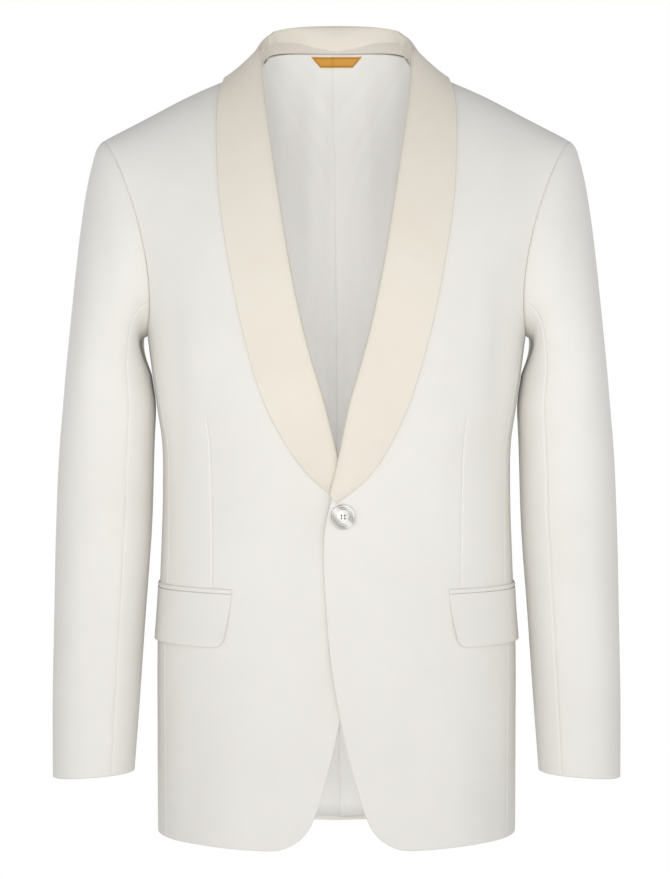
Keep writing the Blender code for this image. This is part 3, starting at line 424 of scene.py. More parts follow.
def armhole(step):
    """Angle and level at a step round the armhole: 0 armpit, + to the front, - to the back."""
    step = np.asarray(step, float)
    front = (*ARMHOLE_FRONT, (math.degrees(find_angle(SHOULDER_REACH, 1.0)), 1.0))
    back = (*ARMHOLE_BACK, (math.degrees(find_angle(SHOULDER_REACH, 1.0, True)), 1.0))
    handles = [np.where((step >= 0)[..., None], f, b) for f, b in zip(front, back)]
    return bezier(handles, abs(step) / ARM_STEPS) * (math.pi / 180, 1)


def hem(angle, side):
    """Angle and level of the hem, with the front's round corner."""
    z = along(HEM, "z", np.degrees(angle))
    inside = CORNER_X + side * CENTRE_SHIFT - section(angle, z)[..., 0]
    inside = np.clip(inside, 0, CORNER_RADIUS) * (angle < FRONT_SEAM)
    z = z + CORNER_RADIUS - np.sqrt(CORNER_RADIUS**2 - inside**2)
    return np.stack([angle, level_of(z)], -1)


def closing_shift(z, side):
    """How far the fronts' outlines are moved sideways at this height."""
    return side * CENTRE_SHIFT * (1 - ease(-0.46, -0.30, z))


def front_edge(z, side):
    """Angle and level of the front's free edge, which runs inside the lapel's fold."""
    x = np.where(z < ROLL["z"][0], along(FRONT_EDGE, "x", z), along(ROLL, "x", z))
    return find_front(x + FOLD_INSET * ease(-0.46, -0.41, z) + closing_shift(z, side), z)


def underlap(points, side):
    """How far inside the form the right front lies, under the left one."""
    fade = 1 - ease(UNDERLAP_FULL, UNDERLAP_END, points[..., 0])
    return along(UNDERLAP, "depth", points[..., 2]) * fade * (side < 0)


def give(points, normals, side):
    """How far the soft folds lift the cloth off the form."""
    real = points * (side, 1, 1)
    lift = np.zeros(points.shape[:-1])
    for x0, z0, x1, z1, width, height, face in FOLDS:
        way = np.array([x1 - x0, z1 - z0])
        off = real[..., ::2] - (x0, z0)
        t = np.clip(off @ way / (way @ way), 0, 1)
        far = np.linalg.norm(off - t[..., None] * way, axis=-1)
        facing = np.clip(face * normals[..., 1] * 1.5, 0, 1)
        lift += height * np.exp(-((far / width) ** 2)) * np.sin(math.pi * t) ** 0.7 * facing
    return lift


def on_form(places, side=1, height=0.0, lapped=False):
    """Points of the draped form at angles and levels, moved out by height; and its normals."""
    angle, level = places[..., 0], np.minimum(places[..., 1], 1.0)
    points, normals = form(angle, level), form_normal(angle, level)
    lift = height + give(points, normals, side) * (1 - ease(0.86, 1.0, level))
    if lapped:
        lift = lift - underlap(points, side)
    return points + normals * np.asarray(lift)[..., None], normals


def coons(bottom, top, start, end, s, t):
    """Fills a patch between four lines that share their corners; rows run from bottom to top."""
    s, t = s[None, :, None], t[:, None, None]
    bottom, top, start, end = bottom[None], top[None], start[:, None], end[:, None]
    return (
        (1 - t) * bottom
        + t * top
        + (1 - s) * start
        + s * end
        - (1 - s) * ((1 - t) * bottom[:, :1] + t * top[:, :1])
        - s * ((1 - t) * bottom[:, -1:] + t * top[:, -1:])
    )


# ---------------------------------------------------------------- cloth


def ways(points):
    """Distances along the rows and along the columns of a grid of points."""
    across = np.linalg.norm(np.diff(points, axis=1), axis=-1).cumsum(1)
    up = np.linalg.norm(np.diff(points, axis=0), axis=-1).cumsum(0)
    return np.pad(across, ((0, 0), (1, 0))), np.pad(up, ((1, 0), (0, 0)))


def edge_distances(points):
    across, up = ways(points)
    return {"start": across, "end": across[:, -1:] - across, "bottom": up, "top": up[-1:] - up}


def drawn_in(grid, edges, by):
    """Moves the named edges of a grid of points in, for the gap at a seam."""
    grid = grid.copy()
    pairs = {
        "bottom": (np.s_[0], np.s_[1]),
        "top": (np.s_[-1], np.s_[-2]),
        "start": (np.s_[:, 0], np.s_[:, 1]),
        "end": (np.s_[:, -1], np.s_[:, -2]),
    }
    for name in edges.split():
        rim, inside = pairs[name]
        grid[rim] += unit(grid[inside] - grid[rim]) * by
    return grid


def cloth(points, normals, thickness, seams="", free="", inward=None, gap=LOOK_GAP):
    """The two faces of a cloth wall: soft grooves along its seams, rolled free edges."""
    far = edge_distances(points)
    dip = np.zeros(points.shape[:2])
    for name in seams.split():
        dip = np.maximum(dip, SEAM_DIP * (1 - ease(0, SEAM_SOFT, far[name])))
    near = np.full(points.shape[:2], 1.0)
    for name in free.split():
        near = np.minimum(near, far[name])
    radius = thickness / 2
    rolled = radius * (1 - np.sqrt(1 - (1 - np.minimum(near / radius, 1)) ** 2))
    inward = -normals * thickness if inward is None else inward
    outer = points - normals * (dip + rolled)[..., None]
    inner = points + inward * (1 - rolled / thickness)[..., None]
    return tuple(drawn_in(g, seams, gap) for g in (outer, inner))


def shell(name, outer, inner, side, material, uv=None):
    """A closed cloth wall between two grids of points, mirrored to its own side."""
    rows, columns = outer.shape[:2]
    points = np.concatenate([outer.reshape(-1, 3), inner.reshape(-1, 3)]) * (side, 1, 1)
    number = np.arange(rows * columns).reshape(rows, columns)
    face = np.stack([number[:-1, :-1], number[:-1, 1:], number[1:, 1:], number[1:, :-1]], -1)
    face = face.reshape(-1, 4)
    loop = np.hstack([number[0, :-1], number[:-1, -1], number[-1, :0:-1], number[:0:-1, 0]])
    onward = np.roll(loop, -1)
    far = rows * columns
    rim = np.stack([onward, loop, far + loop, far + onward], -1)
    faces = np.concatenate([face, far + face[:, ::-1], rim])
    a, b, c, d = (points[faces[:, k]] for k in range(4))
    volume = (np.cross(a, b) * c).sum() + (np.cross(a, c) * d).sum()
    if volume < 0:
        faces = faces[:, ::-1]
    mesh = bpy.data.meshes.new(name)
    mesh.from_pydata(points.tolist(), [], faces.tolist())
    if uv is None:
        across, up = ways(outer)
        uv = np.stack([across, up], -1)
    flat = np.concatenate([uv.reshape(-1, 2)] * 2)
    corners = np.empty(len(mesh.loops), int)
    mesh.loops.foreach_get("vertex_index", corners)
    mesh.uv_layers.new(name="UVMap").data.foreach_set("uv", flat[corners].ravel())
    return place(name, mesh, material)


def place(name, mesh, material):
    mesh.shade_smooth()
    mesh.set_sharp_from_angle(angle=math.radians(60))
    mesh.materials.append(material)
    piece = bpy.data.objects.new(name, mesh)
    bpy.context.scene.collection.objects.link(piece)
    return piece


def kept(piece, node):
    """Puts a finished piece in the place of its CAD node."""
    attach(piece, "root")
    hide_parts(node)
    return piece


def declared(piece, points):
    """States a cloth piece's cut, measured on one face of it."""
    across, up = ways(points)
    sides = np.linalg.norm(
        np.cross(points[1:, 1:] - points[:-1, :-1], points[1:, :-1] - points[:-1, 1:]), axis=-1
    )
    area = float(sides.sum() / 2)
    width, length = float(across[:, -1].max()), float(up[-1].max())
    length = max(length, area / width, SHEET_LEAST)
    print(f"SHEET {piece.name} {width:.3f} x {length:.3f} m, {area:.4f} m2")
    return piece


def named(part, side):
    return f"{part}_left" if side > 0 else f"{part}_right"


def sewn(part, outer, inner, side, material):
    """Makes a cloth piece of its two faces, in its CAD node's place, and states its cut."""
    node = named(part, side)
    piece = kept(shell(node + "_cloth", outer, inner, side, material), node)
    declared(piece, outer)


def panel(part, points, normals, inward, seams, free, side, material):
    """Makes a wool panel of a grid of points on the form; gives its two faces."""
    outer, inner = cloth(points, normals, CLOTH, seams, free, inward)
    sewn(part, outer, inner, side, material)
    return outer, inner


# ---------------------------------------------------------------- panels of the body


def seam_line(angle, top_step, side, t):
    """A side-body seam from the hem up to the armhole, as angles and levels."""
    foot, top = hem(angle, side), armhole(top_step)
    turn = angle + (top[0] - angle) * t**3 + (1 - t) ** 4 * (foot[0] - angle)
    return np.stack([turn, foot[1] + (top[1] - foot[1]) * t], -1)


def panel_rows():
    """Places up a front or a back, counted in the CAD's rows."""
    low = spread(0.480, SPACING, high=False) * LOWER_ROWS
    high = LOWER_ROWS + spread(0.270, SPACING, low=False) * (PANEL_ROWS - LOWER_ROWS)
    return np.hstack([low, high[1:]])


def outer_line(angle, steps, side, rows):
    """A panel's seam with the side body and its armhole, from the hem to the shoulder."""
    low = rows <= LOWER_ROWS
    seam = seam_line(angle, steps * SIDE_STEPS, side, rows[low] / LOWER_ROWS)
    return np.vstack([seam, armhole(steps * (SIDE_STEPS + rows[~low] - LOWER_ROWS))])


def mitred(normals, near, steps, share):
    """The way to the cloth's inside: along the mitre at the armhole, else straight in."""
    inward = -normals * CLOTH
    turned = mitre(steps)
    return inward + (turned - inward) * ((1 - ease(0, 0.006, near)) * share)[..., None]


def with_dart(places):
    """Brings some of a front's columns to the dart; gives the dart's column and depths."""
    top, foot = find_front(*DART_TOP), find_front(*DART_FOOT)
    half = DART_HALF_WIDTH / FRONT_WIDTH
    before = spread(0.07, SPACING, high=False)
    after = spread(0.09, SPACING, low=False)
    result, depths = [], []
    for line in places:
        way = np.hstack([0, np.cumsum(np.hypot(*np.diff(line, axis=0).T))])
        way /= way[-1]
        share = 0.5
        for _ in range(12):
            t = (np.interp(share, way, line[:, 1]) - foot[1]) / (top[1] - foot[1])
            goal = foot[0] + (top[0] - foot[0]) * np.clip(t, -0.5, 1.0)
            share = float(np.interp(goal, line[:, 0], way))
        share = np.clip(share, 0.2, 0.85)
        groove = share + half * np.array([-0.6, -0.3, -0.12, 0, 0.12, 0.3, 0.6])
        at = np.hstack([before * (share - half), groove, 1 - (1 - after) * (1 - share - half)])
        result.append([[np.interp(a, way, line[:, k]) for k in (0, 1)] for a in at])
        depths.append(DART_DEPTH * ease(-0.10, 0.02, t) * (1 - ease(0.80, 1.0, t)))
    return np.array(result), np.array(depths), len(before) + 3


def body_inward(normals, near, rows, steps):
    """The way to the inside of a front or a back, whose rows meet the armhole above the armpit."""
    return mitred(normals, near, steps, ease(LOWER_ROWS - 0.2, LOWER_ROWS, rows)[:, None])


def armhole_steps(rows, near):
    return np.maximum(SIDE_STEPS + rows - LOWER_ROWS, SIDE_STEPS)[:, None] + 0 * near


def make_front(side, material):
    rows = panel_rows()
    outer_edge = outer_line(FRONT_SEAM, 1, side, rows)
    heights = [FRONT_EDGE["z"][0], -0.255, 0.0]
    z = np.interp(rows, [0, LOWER_ROWS, PANEL_ROWS], heights)
    inner_edge = front_edge(z, side)
    corner = np.array([find_angle(NECK_HALF, 1.0), 1.0])
    last = rows > PANEL_ROWS - 1
    share = (rows[last] - PANEL_ROWS + 1)[:, None]
    inner_edge[last] = inner_edge[~last][-1] * (1 - share) + corner * share
    s = np.linspace(0, 1, 81)
    first = inner_edge[0, 0]
    bottom = hem(first + (FRONT_SEAM - first) * s, side)
    bottom[0], bottom[-1] = inner_edge[0], outer_edge[0]
    angles = corner[0] + (outer_edge[-1, 0] - corner[0]) * s
    top = np.stack([angles, np.ones_like(s)], -1)
    places = coons(bottom, top, inner_edge, outer_edge, s, rows / PANEL_ROWS)
    places, depths, dart = with_dart(places)
    points, normals = on_form(places, side, lapped=True)
    across = ways(points)[0]
    off = abs(across - across[:, dart : dart + 1])
    sink = depths[:, None] * (1 - ease(0, 0.0013, off) + 0.5 * np.exp(-((off / 0.007) ** 2)))
    points = points - normals * sink[..., None]
    near = edge_distances(points)["end"]
    inward = body_inward(normals, near, rows, armhole_steps(rows, near))
    seams, free = "end top", "start bottom"
    return panel("front", points, normals, inward, seams, free, side, material)


def make_side(side, material):
    steps = SIDE_STEPS * (1 - 2 * spread(0.150, SPACING))
    rows = spread(0.480, SPACING)
    s = (SIDE_STEPS - steps) / (2 * SIDE_STEPS)
    start = seam_line(FRONT_SEAM, SIDE_STEPS, side, rows)
    end = seam_line(BACK_SEAM, -SIDE_STEPS, side, rows)
    bottom = hem(FRONT_SEAM + (BACK_SEAM - FRONT_SEAM) * s, side)
    places = coons(bottom, armhole(steps), start, end, s, rows)
    points, normals = on_form(places, side)
    near = edge_distances(points)["top"]
    inward = mitred(normals, near, steps[None] + 0 * near, 1.0)
    seams, free = "top start end", "bottom"
    panel("side", points, normals, inward, seams, free, side, material)


def back_places(side, centre=math.pi):
    """Angles and levels over the back, from the side seam to centre back."""
    rows = panel_rows()
    start = outer_line(BACK_SEAM, -1, side, rows)
    low, middle = hem(math.pi, side)[1], start[rows <= LOWER_ROWS][-1, 1]
    levels = np.interp(rows, [0, LOWER_ROWS, PANEL_ROWS], [low, middle, 1.0])
    end = np.stack([centre + 0 * levels, levels], -1)
    s = spread(0.170, SPACING)
    bottom = hem(BACK_SEAM + (centre - BACK_SEAM) * s, side)
    neck = find_angle(NECK_HALF, 1.0, True)
    top = np.interp(s, [0, 0.5, 1], [start[-1, 0], neck, centre])
    top = np.stack([top, np.ones_like(s)], -1)
    return coons(bottom, top, start, end, s, rows / PANEL_ROWS), rows


def make_back(side, material):
    places, rows = back_places(side)
    points, normals = on_form(places, side)
    near = edge_distances(points)["start"]
    inward = body_inward(normals, near, rows, -armhole_steps(rows, near))
    seams, free = "start end top", "bottom"
    return panel("back", points, normals, inward, seams, free, side, material)


# ---------------------------------------------------------------- sleeves


def sleeve_section(turn, share):
    """A point of the sleeve below the armpit. Turn 0 faces the body, a quarter is in front."""
    z = SLEEVE["z"][-1] + (SLEEVE["z"][0] - SLEEVE["z"][-1]) * share
    inner, outer, middle, depth, tilt = (
        along(SLEEVE, c, z) for c in ("inner", "outer", "middle", "half_depth", "tilt")
    )
    across, ahead = -np.cos(turn), np.sin(turn)
    n = SLEEVE_SQUARENESS
    reach = (abs(across) ** n + abs(ahead) ** n) ** (-1 / n)
    x = (inner + outer) / 2 + (outer - inner) / 2 * reach * across
    return np.stack([x, middle - depth * reach * ahead, z - tilt * (x - inner)], -1)


def sleeve_cap(step, share):
    """A point between the armhole and the first full section of the sleeve."""
    start = form(*np.moveaxis(armhole(step), -1, 0))
    turn = math.pi * step / ARM_STEPS
    end = sleeve_section(turn, 0 * share)
    height = (1 - np.cos(turn)) / 2
    leave = [0.016 + 0.004 * height, -0.012 * np.sin(turn), -0.003 - 0.012 * height]
    arrive = [0.004 * (1 - height) - 0.010 * height, 0 * height, 0.014 + 0.090 * height]
    handles = (start, start + np.stack(leave, -1), end + np.stack(arrive, -1), end)
    return bezier(handles, share)


def sleeve_point(step, row):
    step, row = np.broadcast_arrays(np.asarray(step, float), np.asarray(row, float))
    step = np.where(step > ARM_STEPS + 0.5, step - 2 * ARM_STEPS, step)
    cap = sleeve_cap(step, np.minimum(row / CAP_ROWS, 1))
    arm = sleeve_section(math.pi * step / ARM_STEPS, np.maximum(row - CAP_ROWS, 0) / ARM_ROWS)
    return np.where((row <= CAP_ROWS)[..., None], cap, arm)


def sleeve_normal(step, row):
    d = 1e-3
    round_it = sleeve_point(step + d, row) - sleeve_point(step - d, row)
    low, high = np.maximum(row - d, 0), np.minimum(row + d, CAP_ROWS + ARM_ROWS)
    return unit(np.cross(sleeve_point(step, high) - sleeve_point(step, low), round_it))


def mitre(step):
    """The way from the outside to the inside of the cloth at the armhole seam."""
    body = form_normal(*np.moveaxis(armhole(step), -1, 0))
    limit = ARM_STEPS - 0.01
    arm = sleeve_normal(np.clip(step, -limit, limit), 0.02 + 0 * step)
    middle = unit(body + arm)
    return -middle * CLOTH / np.maximum((middle * body).sum(-1, keepdims=True), 0.75)


def make_sleeve(part, first, last, side, material):
    steps = first + (last - first) * spread(0.300 if part == "top_sleeve" else 0.180, SPACING)
    cap = spread(0.150, SPACING, high=False) * CAP_ROWS
    arm = CAP_ROWS + spread(0.380, SPACING, low=False) * ARM_ROWS
    rows = np.hstack([cap, arm[1:]])
    steps, rows = np.meshgrid(steps, rows)
    points, normals = sleeve_point(steps, rows), sleeve_normal(steps, rows)
    near = edge_distances(points)["bottom"]
    # The cap is eased into the armhole, so it swells a little just below the seam.
    swell = 0.0010 * np.exp(-(((near - 0.011) / 0.008) ** 2)) * ease(4, 8, abs(steps))
    lift = give(points, normals, side) * ease(0.004, 0.035, near) + swell
    points = points + normals * lift[..., None]
    wrapped = np.where(steps > ARM_STEPS, steps - 2 * ARM_STEPS, steps)
    inward = mitred(normals, near, wrapped, 1.0)
    seams, free = "bottom start end", "top"
    panel(part, points, normals, inward, seams, free, side, material)


# ---------------------------------------------------------------- collar and lapels


def tree_of(*grids):
    """A search tree over the faces of some grids of points."""
    points, faces = [], []
    for grid in grids:
        rows, columns = grid.shape[:2]
        first = len(points)
        points += [Vector(p) for p in grid.reshape(-1, 3)]
        for r, c in np.ndindex(rows - 1, columns - 1):
            a = first + r * columns + c
            faces.append((a, a + 1, a + 1 + columns, a + columns))
    return BVHTree.FromPolygons(points, faces)


def seated(tree, point, away, gap, reach=0.010):
    """The point moved along `away` until it lies `gap` off the surface."""
    away = Vector(away)
    x = point[0] if abs(point[0]) > SEAM_GAP else SEAM_GAP
    start = Vector((x, point[1], point[2]))
    hit = tree.ray_cast(start + away * reach, -away, 2 * reach)[0]
    return point if hit is None else point + np.array(away) * ((hit - start) @ away + gap)


def kept_off(tree, point, away, gap):
    """The point, moved along `away` only if it lies less than `gap` off the surface."""
    resting = seated(tree, point, away, gap)
    return resting if float((resting - point) @ away) > 0 else point


def neck_line(fold, leaf_x, leaf_level, share, body):
    """One line across the collar behind the neck: seam, stand, fold, leaf."""
    seam = math.pi + (find_angle(NECK_HALF, 1.0, True) - math.pi) * share
    foot, normal = form(seam, 1.0), form_normal(seam, 1 - 1e-3)
    d = 1e-3
    into_neck = unit(np.cross(form(seam - d, 1.0) - form(seam + d, 1.0), normal))
    angle = math.pi if share == 0 else find_angle(leaf_x, leaf_level, True)
    leaf_normal = form_normal(angle, leaf_level)
    leaf = seated(body, form(angle, leaf_level), leaf_normal, LEAF_GAP + COLLAR_CLOTH)
    out = unit((leaf - fold) * (1, 1, 0))
    clear = 1.5 * LEAF_GAP + COLLAR_CLOTH * max(0.0, -float(out @ into_neck))
    foot = foot + into_neck * clear
    foot = foot - normal * COLLAR_CLOTH
    up = np.array([0.0, 0.0, 1.0])
    lean = fold - out * 0.0030 - up * 0.0045
    line = [foot, foot + (lean - foot) * 0.5, lean]
    line += [fold - out * 0.0020 - up * 0.0010, fold, fold + out * 0.0026 - up * 0.0011]
    start = line[-1]
    length = np.linalg.norm(leaf - start)
    down = unit(np.cross(leaf_normal, np.cross(leaf - start, leaf_normal)))
    handles = (start, start + (out - up * 1.1) * 0.30 * length, leaf - down * 0.35 * length, leaf)
    for t in np.linspace(0, 1, LEAF_POINTS + 1)[1:]:
        line.append(kept_off(body, bezier(handles, t), leaf_normal, LEAF_GAP + COLLAR_CLOTH))
    return line


def lapel_line(fold, leaf, stand, reach_back, side, body):
    """One line across the lapel: the facing's return inside the front, fold, leaf."""
    width = np.linalg.norm(form(*fold) - form(*leaf))
    low = -(CLOTH + FACING_GAP + COLLAR_CLOTH)
    high = LEAF_GAP + COLLAR_CLOTH
    profile = [
        (reach_back, low, 0.0),
        (reach_back * 0.5 + 0.0004, low, 0.0),
        (0.0004, low + 0.0011, 0.0),
        (0.0, -CLOTH / 2, 0.45),
        (0.0006, high - 0.0009, 0.9),
        (0.0030, high + 0.0003, 1.0),
    ]
    roll = min(1.0, width / 0.03) * 0.0012
    for t in np.linspace(0, 1, LEAF_POINTS + 1)[1:]:
        lift = roll * (1 - t) * (1 - 0.5 * t) + 0.1 * stand * t
        profile.append((0.0030 + (width - 0.0030) * t, high + lift, (1 - t) ** 1.3))
    line = []
    for inset, height, upright in profile:
        angle, level = fold + (leaf - fold) * inset / width
        point, normal = form(angle, min(level, 1.0)), form_normal(angle, min(level, 1 - 1e-3))
        point = point - normal * underlap(point, side)
        if inset > FOLD_INSET and height > 0:
            point = seated(body, point, normal, 0.0)
        line.append(point + normal * height + np.array([0.0, 0.0, stand * upright]))
    return line


def make_collar(side, material, body):
    lines = []
    rows = smooth(np.column_stack(list(NECK.values())), np.arange(0, 4.1, 0.5))
    for i, row in enumerate(rows):
        lines.append(neck_line(row[:3], row[3], row[4], i / (len(rows) - 1), body))
    for fold_z, leaf_x, leaf_z, stand, reach_back in np.column_stack(list(LAPEL.values())):
        fold = find_front(along(ROLL, "x", fold_z) + closing_shift(fold_z, side), fold_z)
        leaf = find_front(leaf_x + closing_shift(leaf_z, side), leaf_z)
        lines.append(lapel_line(fold, leaf, stand, reach_back, side, body))
    face = np.array(lines)
    ends = np.array([0, 0.03, 0.08, 0.16])
    finer = 4
    far = len(face) - 1
    down = np.hstack([ends, np.arange(1, finer * far) / finer, far - ends[::-1]])
    wide = face.shape[1] - 1
    outside = wide - np.array([0.36, 0.2, 0.1, 0.05, 0])
    across = np.hstack([ends, np.arange(1, 3 * wide - 1) / 3, outside])
    face = smooth(face, np.unique(down))
    face = np.moveaxis(smooth(np.moveaxis(face, 1, 0), np.unique(across)), 0, 1)
    downward = np.gradient(face, axis=0)
    downward[0] = (1.0, 0.0, 0.0)
    normals = -unit(np.cross(np.gradient(face, axis=1), downward))
    outer, inner = cloth(face, normals, COLLAR_CLOTH, "bottom", "end top")
    sewn("collar", outer, inner, side, material)


# ---------------------------------------------------------------- what lies on the panels


def pocket_places(side, spots, heights):
    """Angles and levels at distances along the pocket's mouth, and at heights."""
    start = find_front(FLAP_FRONT_X + closing_shift(FLAP_Z, side), FLAP_Z)
    angles = np.linspace(start[0], start[0] + 2.0, 400)
    points = form(angles, start[1])
    way = np.hstack([0, np.cumsum(np.linalg.norm(np.diff(points, axis=0), axis=1))])
    angle = np.interp(np.maximum(spots, 0), way, angles)
    return np.stack(np.broadcast_arrays(angle, level_of(heights)), -1)


def make_pocket(side, material):
    s, r = np.meshgrid(spread(FLAP_LENGTH, 0.003), spread(FLAP_DEPTH, 0.003))
    spots = s * FLAP_LENGTH
    near = np.clip(FLAP_CORNER - np.minimum(spots, FLAP_LENGTH - spots), 0, FLAP_CORNER)
    depth = FLAP_DEPTH - FLAP_CORNER + np.sqrt(FLAP_CORNER**2 - near**2)
    top = FLAP_Z + FLAP_SLOPE * spots - JET_DEPTH - SEAM_GAP
    stand_off = LAYER_GAP + FLAP_CLOTH + FLAP_FLARE * r**2
    slanted = spots + FLAP_SLANT * r**2 * (1 - s)
    places = pocket_places(side, slanted, top - depth * r)
    points, normals = on_form(places, side, stand_off)
    outer, inner = cloth(points, normals, FLAP_CLOTH, "", "start end top")
    sewn("pocket_flap", outer, inner, side, material)

    s, r = np.meshgrid(spread(FLAP_LENGTH, 0.004), np.linspace(0, 1, 9))
    spots = s * (FLAP_LENGTH + 0.006) - 0.003
    top = FLAP_Z + FLAP_SLOPE * spots
    places = pocket_places(side, spots, top - JET_DEPTH * (1 - r))
    swell = 0.0010 + 0.0005 * np.sin(math.pi * r)
    points, normals = on_form(places, side, SEAM_GAP + swell)
    outer, inner = cloth(points, normals, JET_CLOTH, "", "start end bottom top")
    sewn("pocket_jet", outer, inner, side, material)


def make_lining(side, material):
    """The back lining, with a pleat down its middle; it ends above the hem."""
    edge = math.pi + LINING_LAP
    places, rows = back_places(side, edge)
    # The left half laps over the right one, and its edge slants a little.
    if side > 0:
        far_in = ease(0.75, 1.0, (places[..., 0] - BACK_SEAM) / (edge - BACK_SEAM))
        places[..., 0] -= far_in * (LAP_SLANT[0] - LAP_SLANT[1] * rows / PANEL_ROWS)[:, None]
    points, normals = on_form(places, side, -(CLOTH + LAYER_GAP))
    far = edge_distances(points)
    rise = ease(0, 0.06, far["bottom"]) * ease(0.0, 0.05, far["top"]) * ease(0, 0.03, far["start"])
    x = points[..., 0]
    ripple = 0.0
    for at, width, height in PLEATS:
        sway = at + side * 0.004 + 0.004 * np.sin(9 * points[..., 2] + 3 * side)
        ripple = ripple + height * np.exp(-(((x - sway) / width) ** 2))
    lap = LAP_DEPTH * (1 - ease(0.014, 0.026, far["end"])) if side > 0 else 0.0
    points = points - normals * (ripple * rise + lap)[..., None]
    keep = points[..., 2].mean(1) > HEM["z"][-1] + 0.8 * LINING_RISE
    points, normals = points[keep], normals[keep]
    face, back = cloth(points, -normals, LINING_CLOTH, "start top", "bottom end", gap=0.0008)
    face, back = face - normals * LINING_CLOTH, back - normals * LINING_CLOTH
    sewn("lining", face, back, side, material)
    return face


def make_label(material, *faces):
    """A blank label, sewn to the lining below the neck seam."""
    tree = tree_of(*faces)
    columns, rows = 41, 13
    outer = np.empty((rows, columns, 3))
    for r, c in np.ndindex(rows, columns):
        half = (LABEL_BOTTOM + (LABEL_TOP - LABEL_BOTTOM) * r / (rows - 1)) / 2
        x = half * (2 * c / (columns - 1) - 1)
        z = LABEL_Z - LABEL_HEIGHT * (1 - r / (rows - 1))
        outer[r, c] = seated(tree, np.array([x, NECK_BACK[1], z]), (0, -1, 0), LAYER_GAP, 0.03)
    away = np.broadcast_to(np.array([0.0, -1.0, 0.0]), outer.shape)
    outer = outer + away * LABEL_CLOTH
    front, back = cloth(outer, away, LABEL_CLOTH, "", "start end bottom top")
    uv = np.stack(np.meshgrid(np.linspace(0, 1, columns), np.linspace(0, 1, rows)), -1)
    piece = kept(shell("neck_label_cloth", front, back, 1, material, uv), "neck_label")
    declared(piece, front)


# ---------------------------------------------------------------- button


def lathe(profile, sides):
    """Turns a closed profile of (radius, height) pairs; the ends lie on the axis."""
    work = bmesh.new()
    rings = []
    for radius, z in profile:
        turns = [0] if radius == 0 else [2 * math.pi * k / sides for k in range(sides)]
        rings.append([work.verts.new((radius * math.cos(a), radius * math.sin(a), z)) for a in turns])
    for low, high in zip(rings, rings[1:]):
        for k in range(sides):
            n = (k + 1) % sides
            corners = [low[k % len(low)], low[n % len(low)], high[n % len(high)], high[k % len(high)]]
            work.faces.new(list(dict.fromkeys(corners)))
    bmesh.ops.recalc_face_normals(work, faces=work.faces)
    return work


def mesh_of(name, work, matrix):
    work.transform(matrix)
    mesh = bpy.data.meshes.new(name)
    work.to_mesh(mesh)
    work.free()
    return mesh


def tube(work, path, radius, sides=8):
    """Adds a closed tube through the points of a path."""
    path = np.array(path, float)
    ways_on = unit(np.gradient(path, axis=0))
    start = None
    for point, way in zip(path, ways_on):
        a = unit(np.cross(way, (0.31, 0.22, 0.93) if abs(way[2]) < 0.9 else (1.0, 0.1, 0.0)))
        b = np.cross(way, a)
        turns = [2 * math.pi * k / sides for k in range(sides)]
        ring = [work.verts.new(point + radius * (math.cos(t) * a + math.sin(t) * b)) for t in turns]
        if start is None:
            work.faces.new(ring[::-1])
        else:
            for k in range(sides):
                n = (k + 1) % sides
                work.faces.new([start[k], start[n], ring[n], ring[k]])
        start = ring
    work.faces.new(start)


# The button's outline: share of its radius, and height above its back.
BUTTON_PROFILE = (
    ((0, 0), (0.70, 0), (0.90, 0.0004), (0.975, 0.0011), (1, 0.0018), (0.985, 0.0025))
    + ((0.95, 0.0030), (0.90, 0.0032), (0.84, 0.0031), (0.80, 0.0028), (0.775, 0.00245))
    + ((0.755, 0.0024), (0.735, 0.0026), (0.700, 0.0027), (0.665, 0.0026), (0.640, 0.0023))
    + ((0.560, 0.0021), (0.30, 0.0019), (0, 0.0019))
)
HOLES = [(x, y) for x in (-HOLE_AT, HOLE_AT) for y in (-HOLE_AT, HOLE_AT)]


def make_disc(turn, pearl):
    """The pearl disc, with its four holes cut through."""
    profile = [(BUTTON_RADIUS * share, BUTTON_STAND + height) for share, height in BUTTON_PROFILE]
    button = place("button_pearl", mesh_of("button_pearl", lathe(profile, 96), turn), pearl)
    work = bmesh.new()
    for x, y in HOLES:
        path = [(x, y, BUTTON_STAND - 0.002), (x, y, BUTTON_STAND + 0.006)]
        tube(work, path, HOLE_RADIUS, 20)
    cutter = place("holes", mesh_of("holes", work, turn), pearl)
    boolean = button.modifiers.new("holes", "BOOLEAN")
    boolean.operation, boolean.solver, boolean.object = "DIFFERENCE", "EXACT", cutter
    graph = bpy.context.evaluated_depsgraph_get()
    mesh = bpy.data.meshes.new_from_object(button.evaluated_get(graph))
    button.modifiers.clear()
    button.data = mesh
    bpy.data.objects.remove(cutter)
    mesh.set_sharp_from_angle(angle=math.radians(35))
    kept(button, "button")


def make_sewing(turn, thread):
    """Two pairs of threads through the holes, and the shank down to the right front."""
    work = bmesh.new()
    low, high = BUTTON_STAND + 0.0004, BUTTON_STAND + 0.0025
    for x, y in HOLES[:2]:
        for nudge in (-THREAD_SPREAD, THREAD_SPREAD):
            at = x + nudge
            path = [(at, y, low), (at, y, high - 0.0003), (at * 0.97, y * 0.8, high)]
            path += [(at * 0.94, 0, high + 0.00012)]
            path += [(p[0], -p[1], p[2]) for p in path[-2::-1]]
            for way in (1, -1):
                tube(work, [(way * p[0], p[1], p[2]) for p in path], THREAD_RADIUS)
    depth = float(along(UNDERLAP, "depth", BUTTON_Z))
    shank = [(0, 0, -depth + 0.0012), (0, 0, -0.001), (0, 0, BUTTON_STAND - 0.0003)]
    tube(work, shank, SHANK_RADIUS, 12)
    threads = place("button_sewing", mesh_of("button_sewing", work, turn), thread)
    kept(threads, "button_thread")


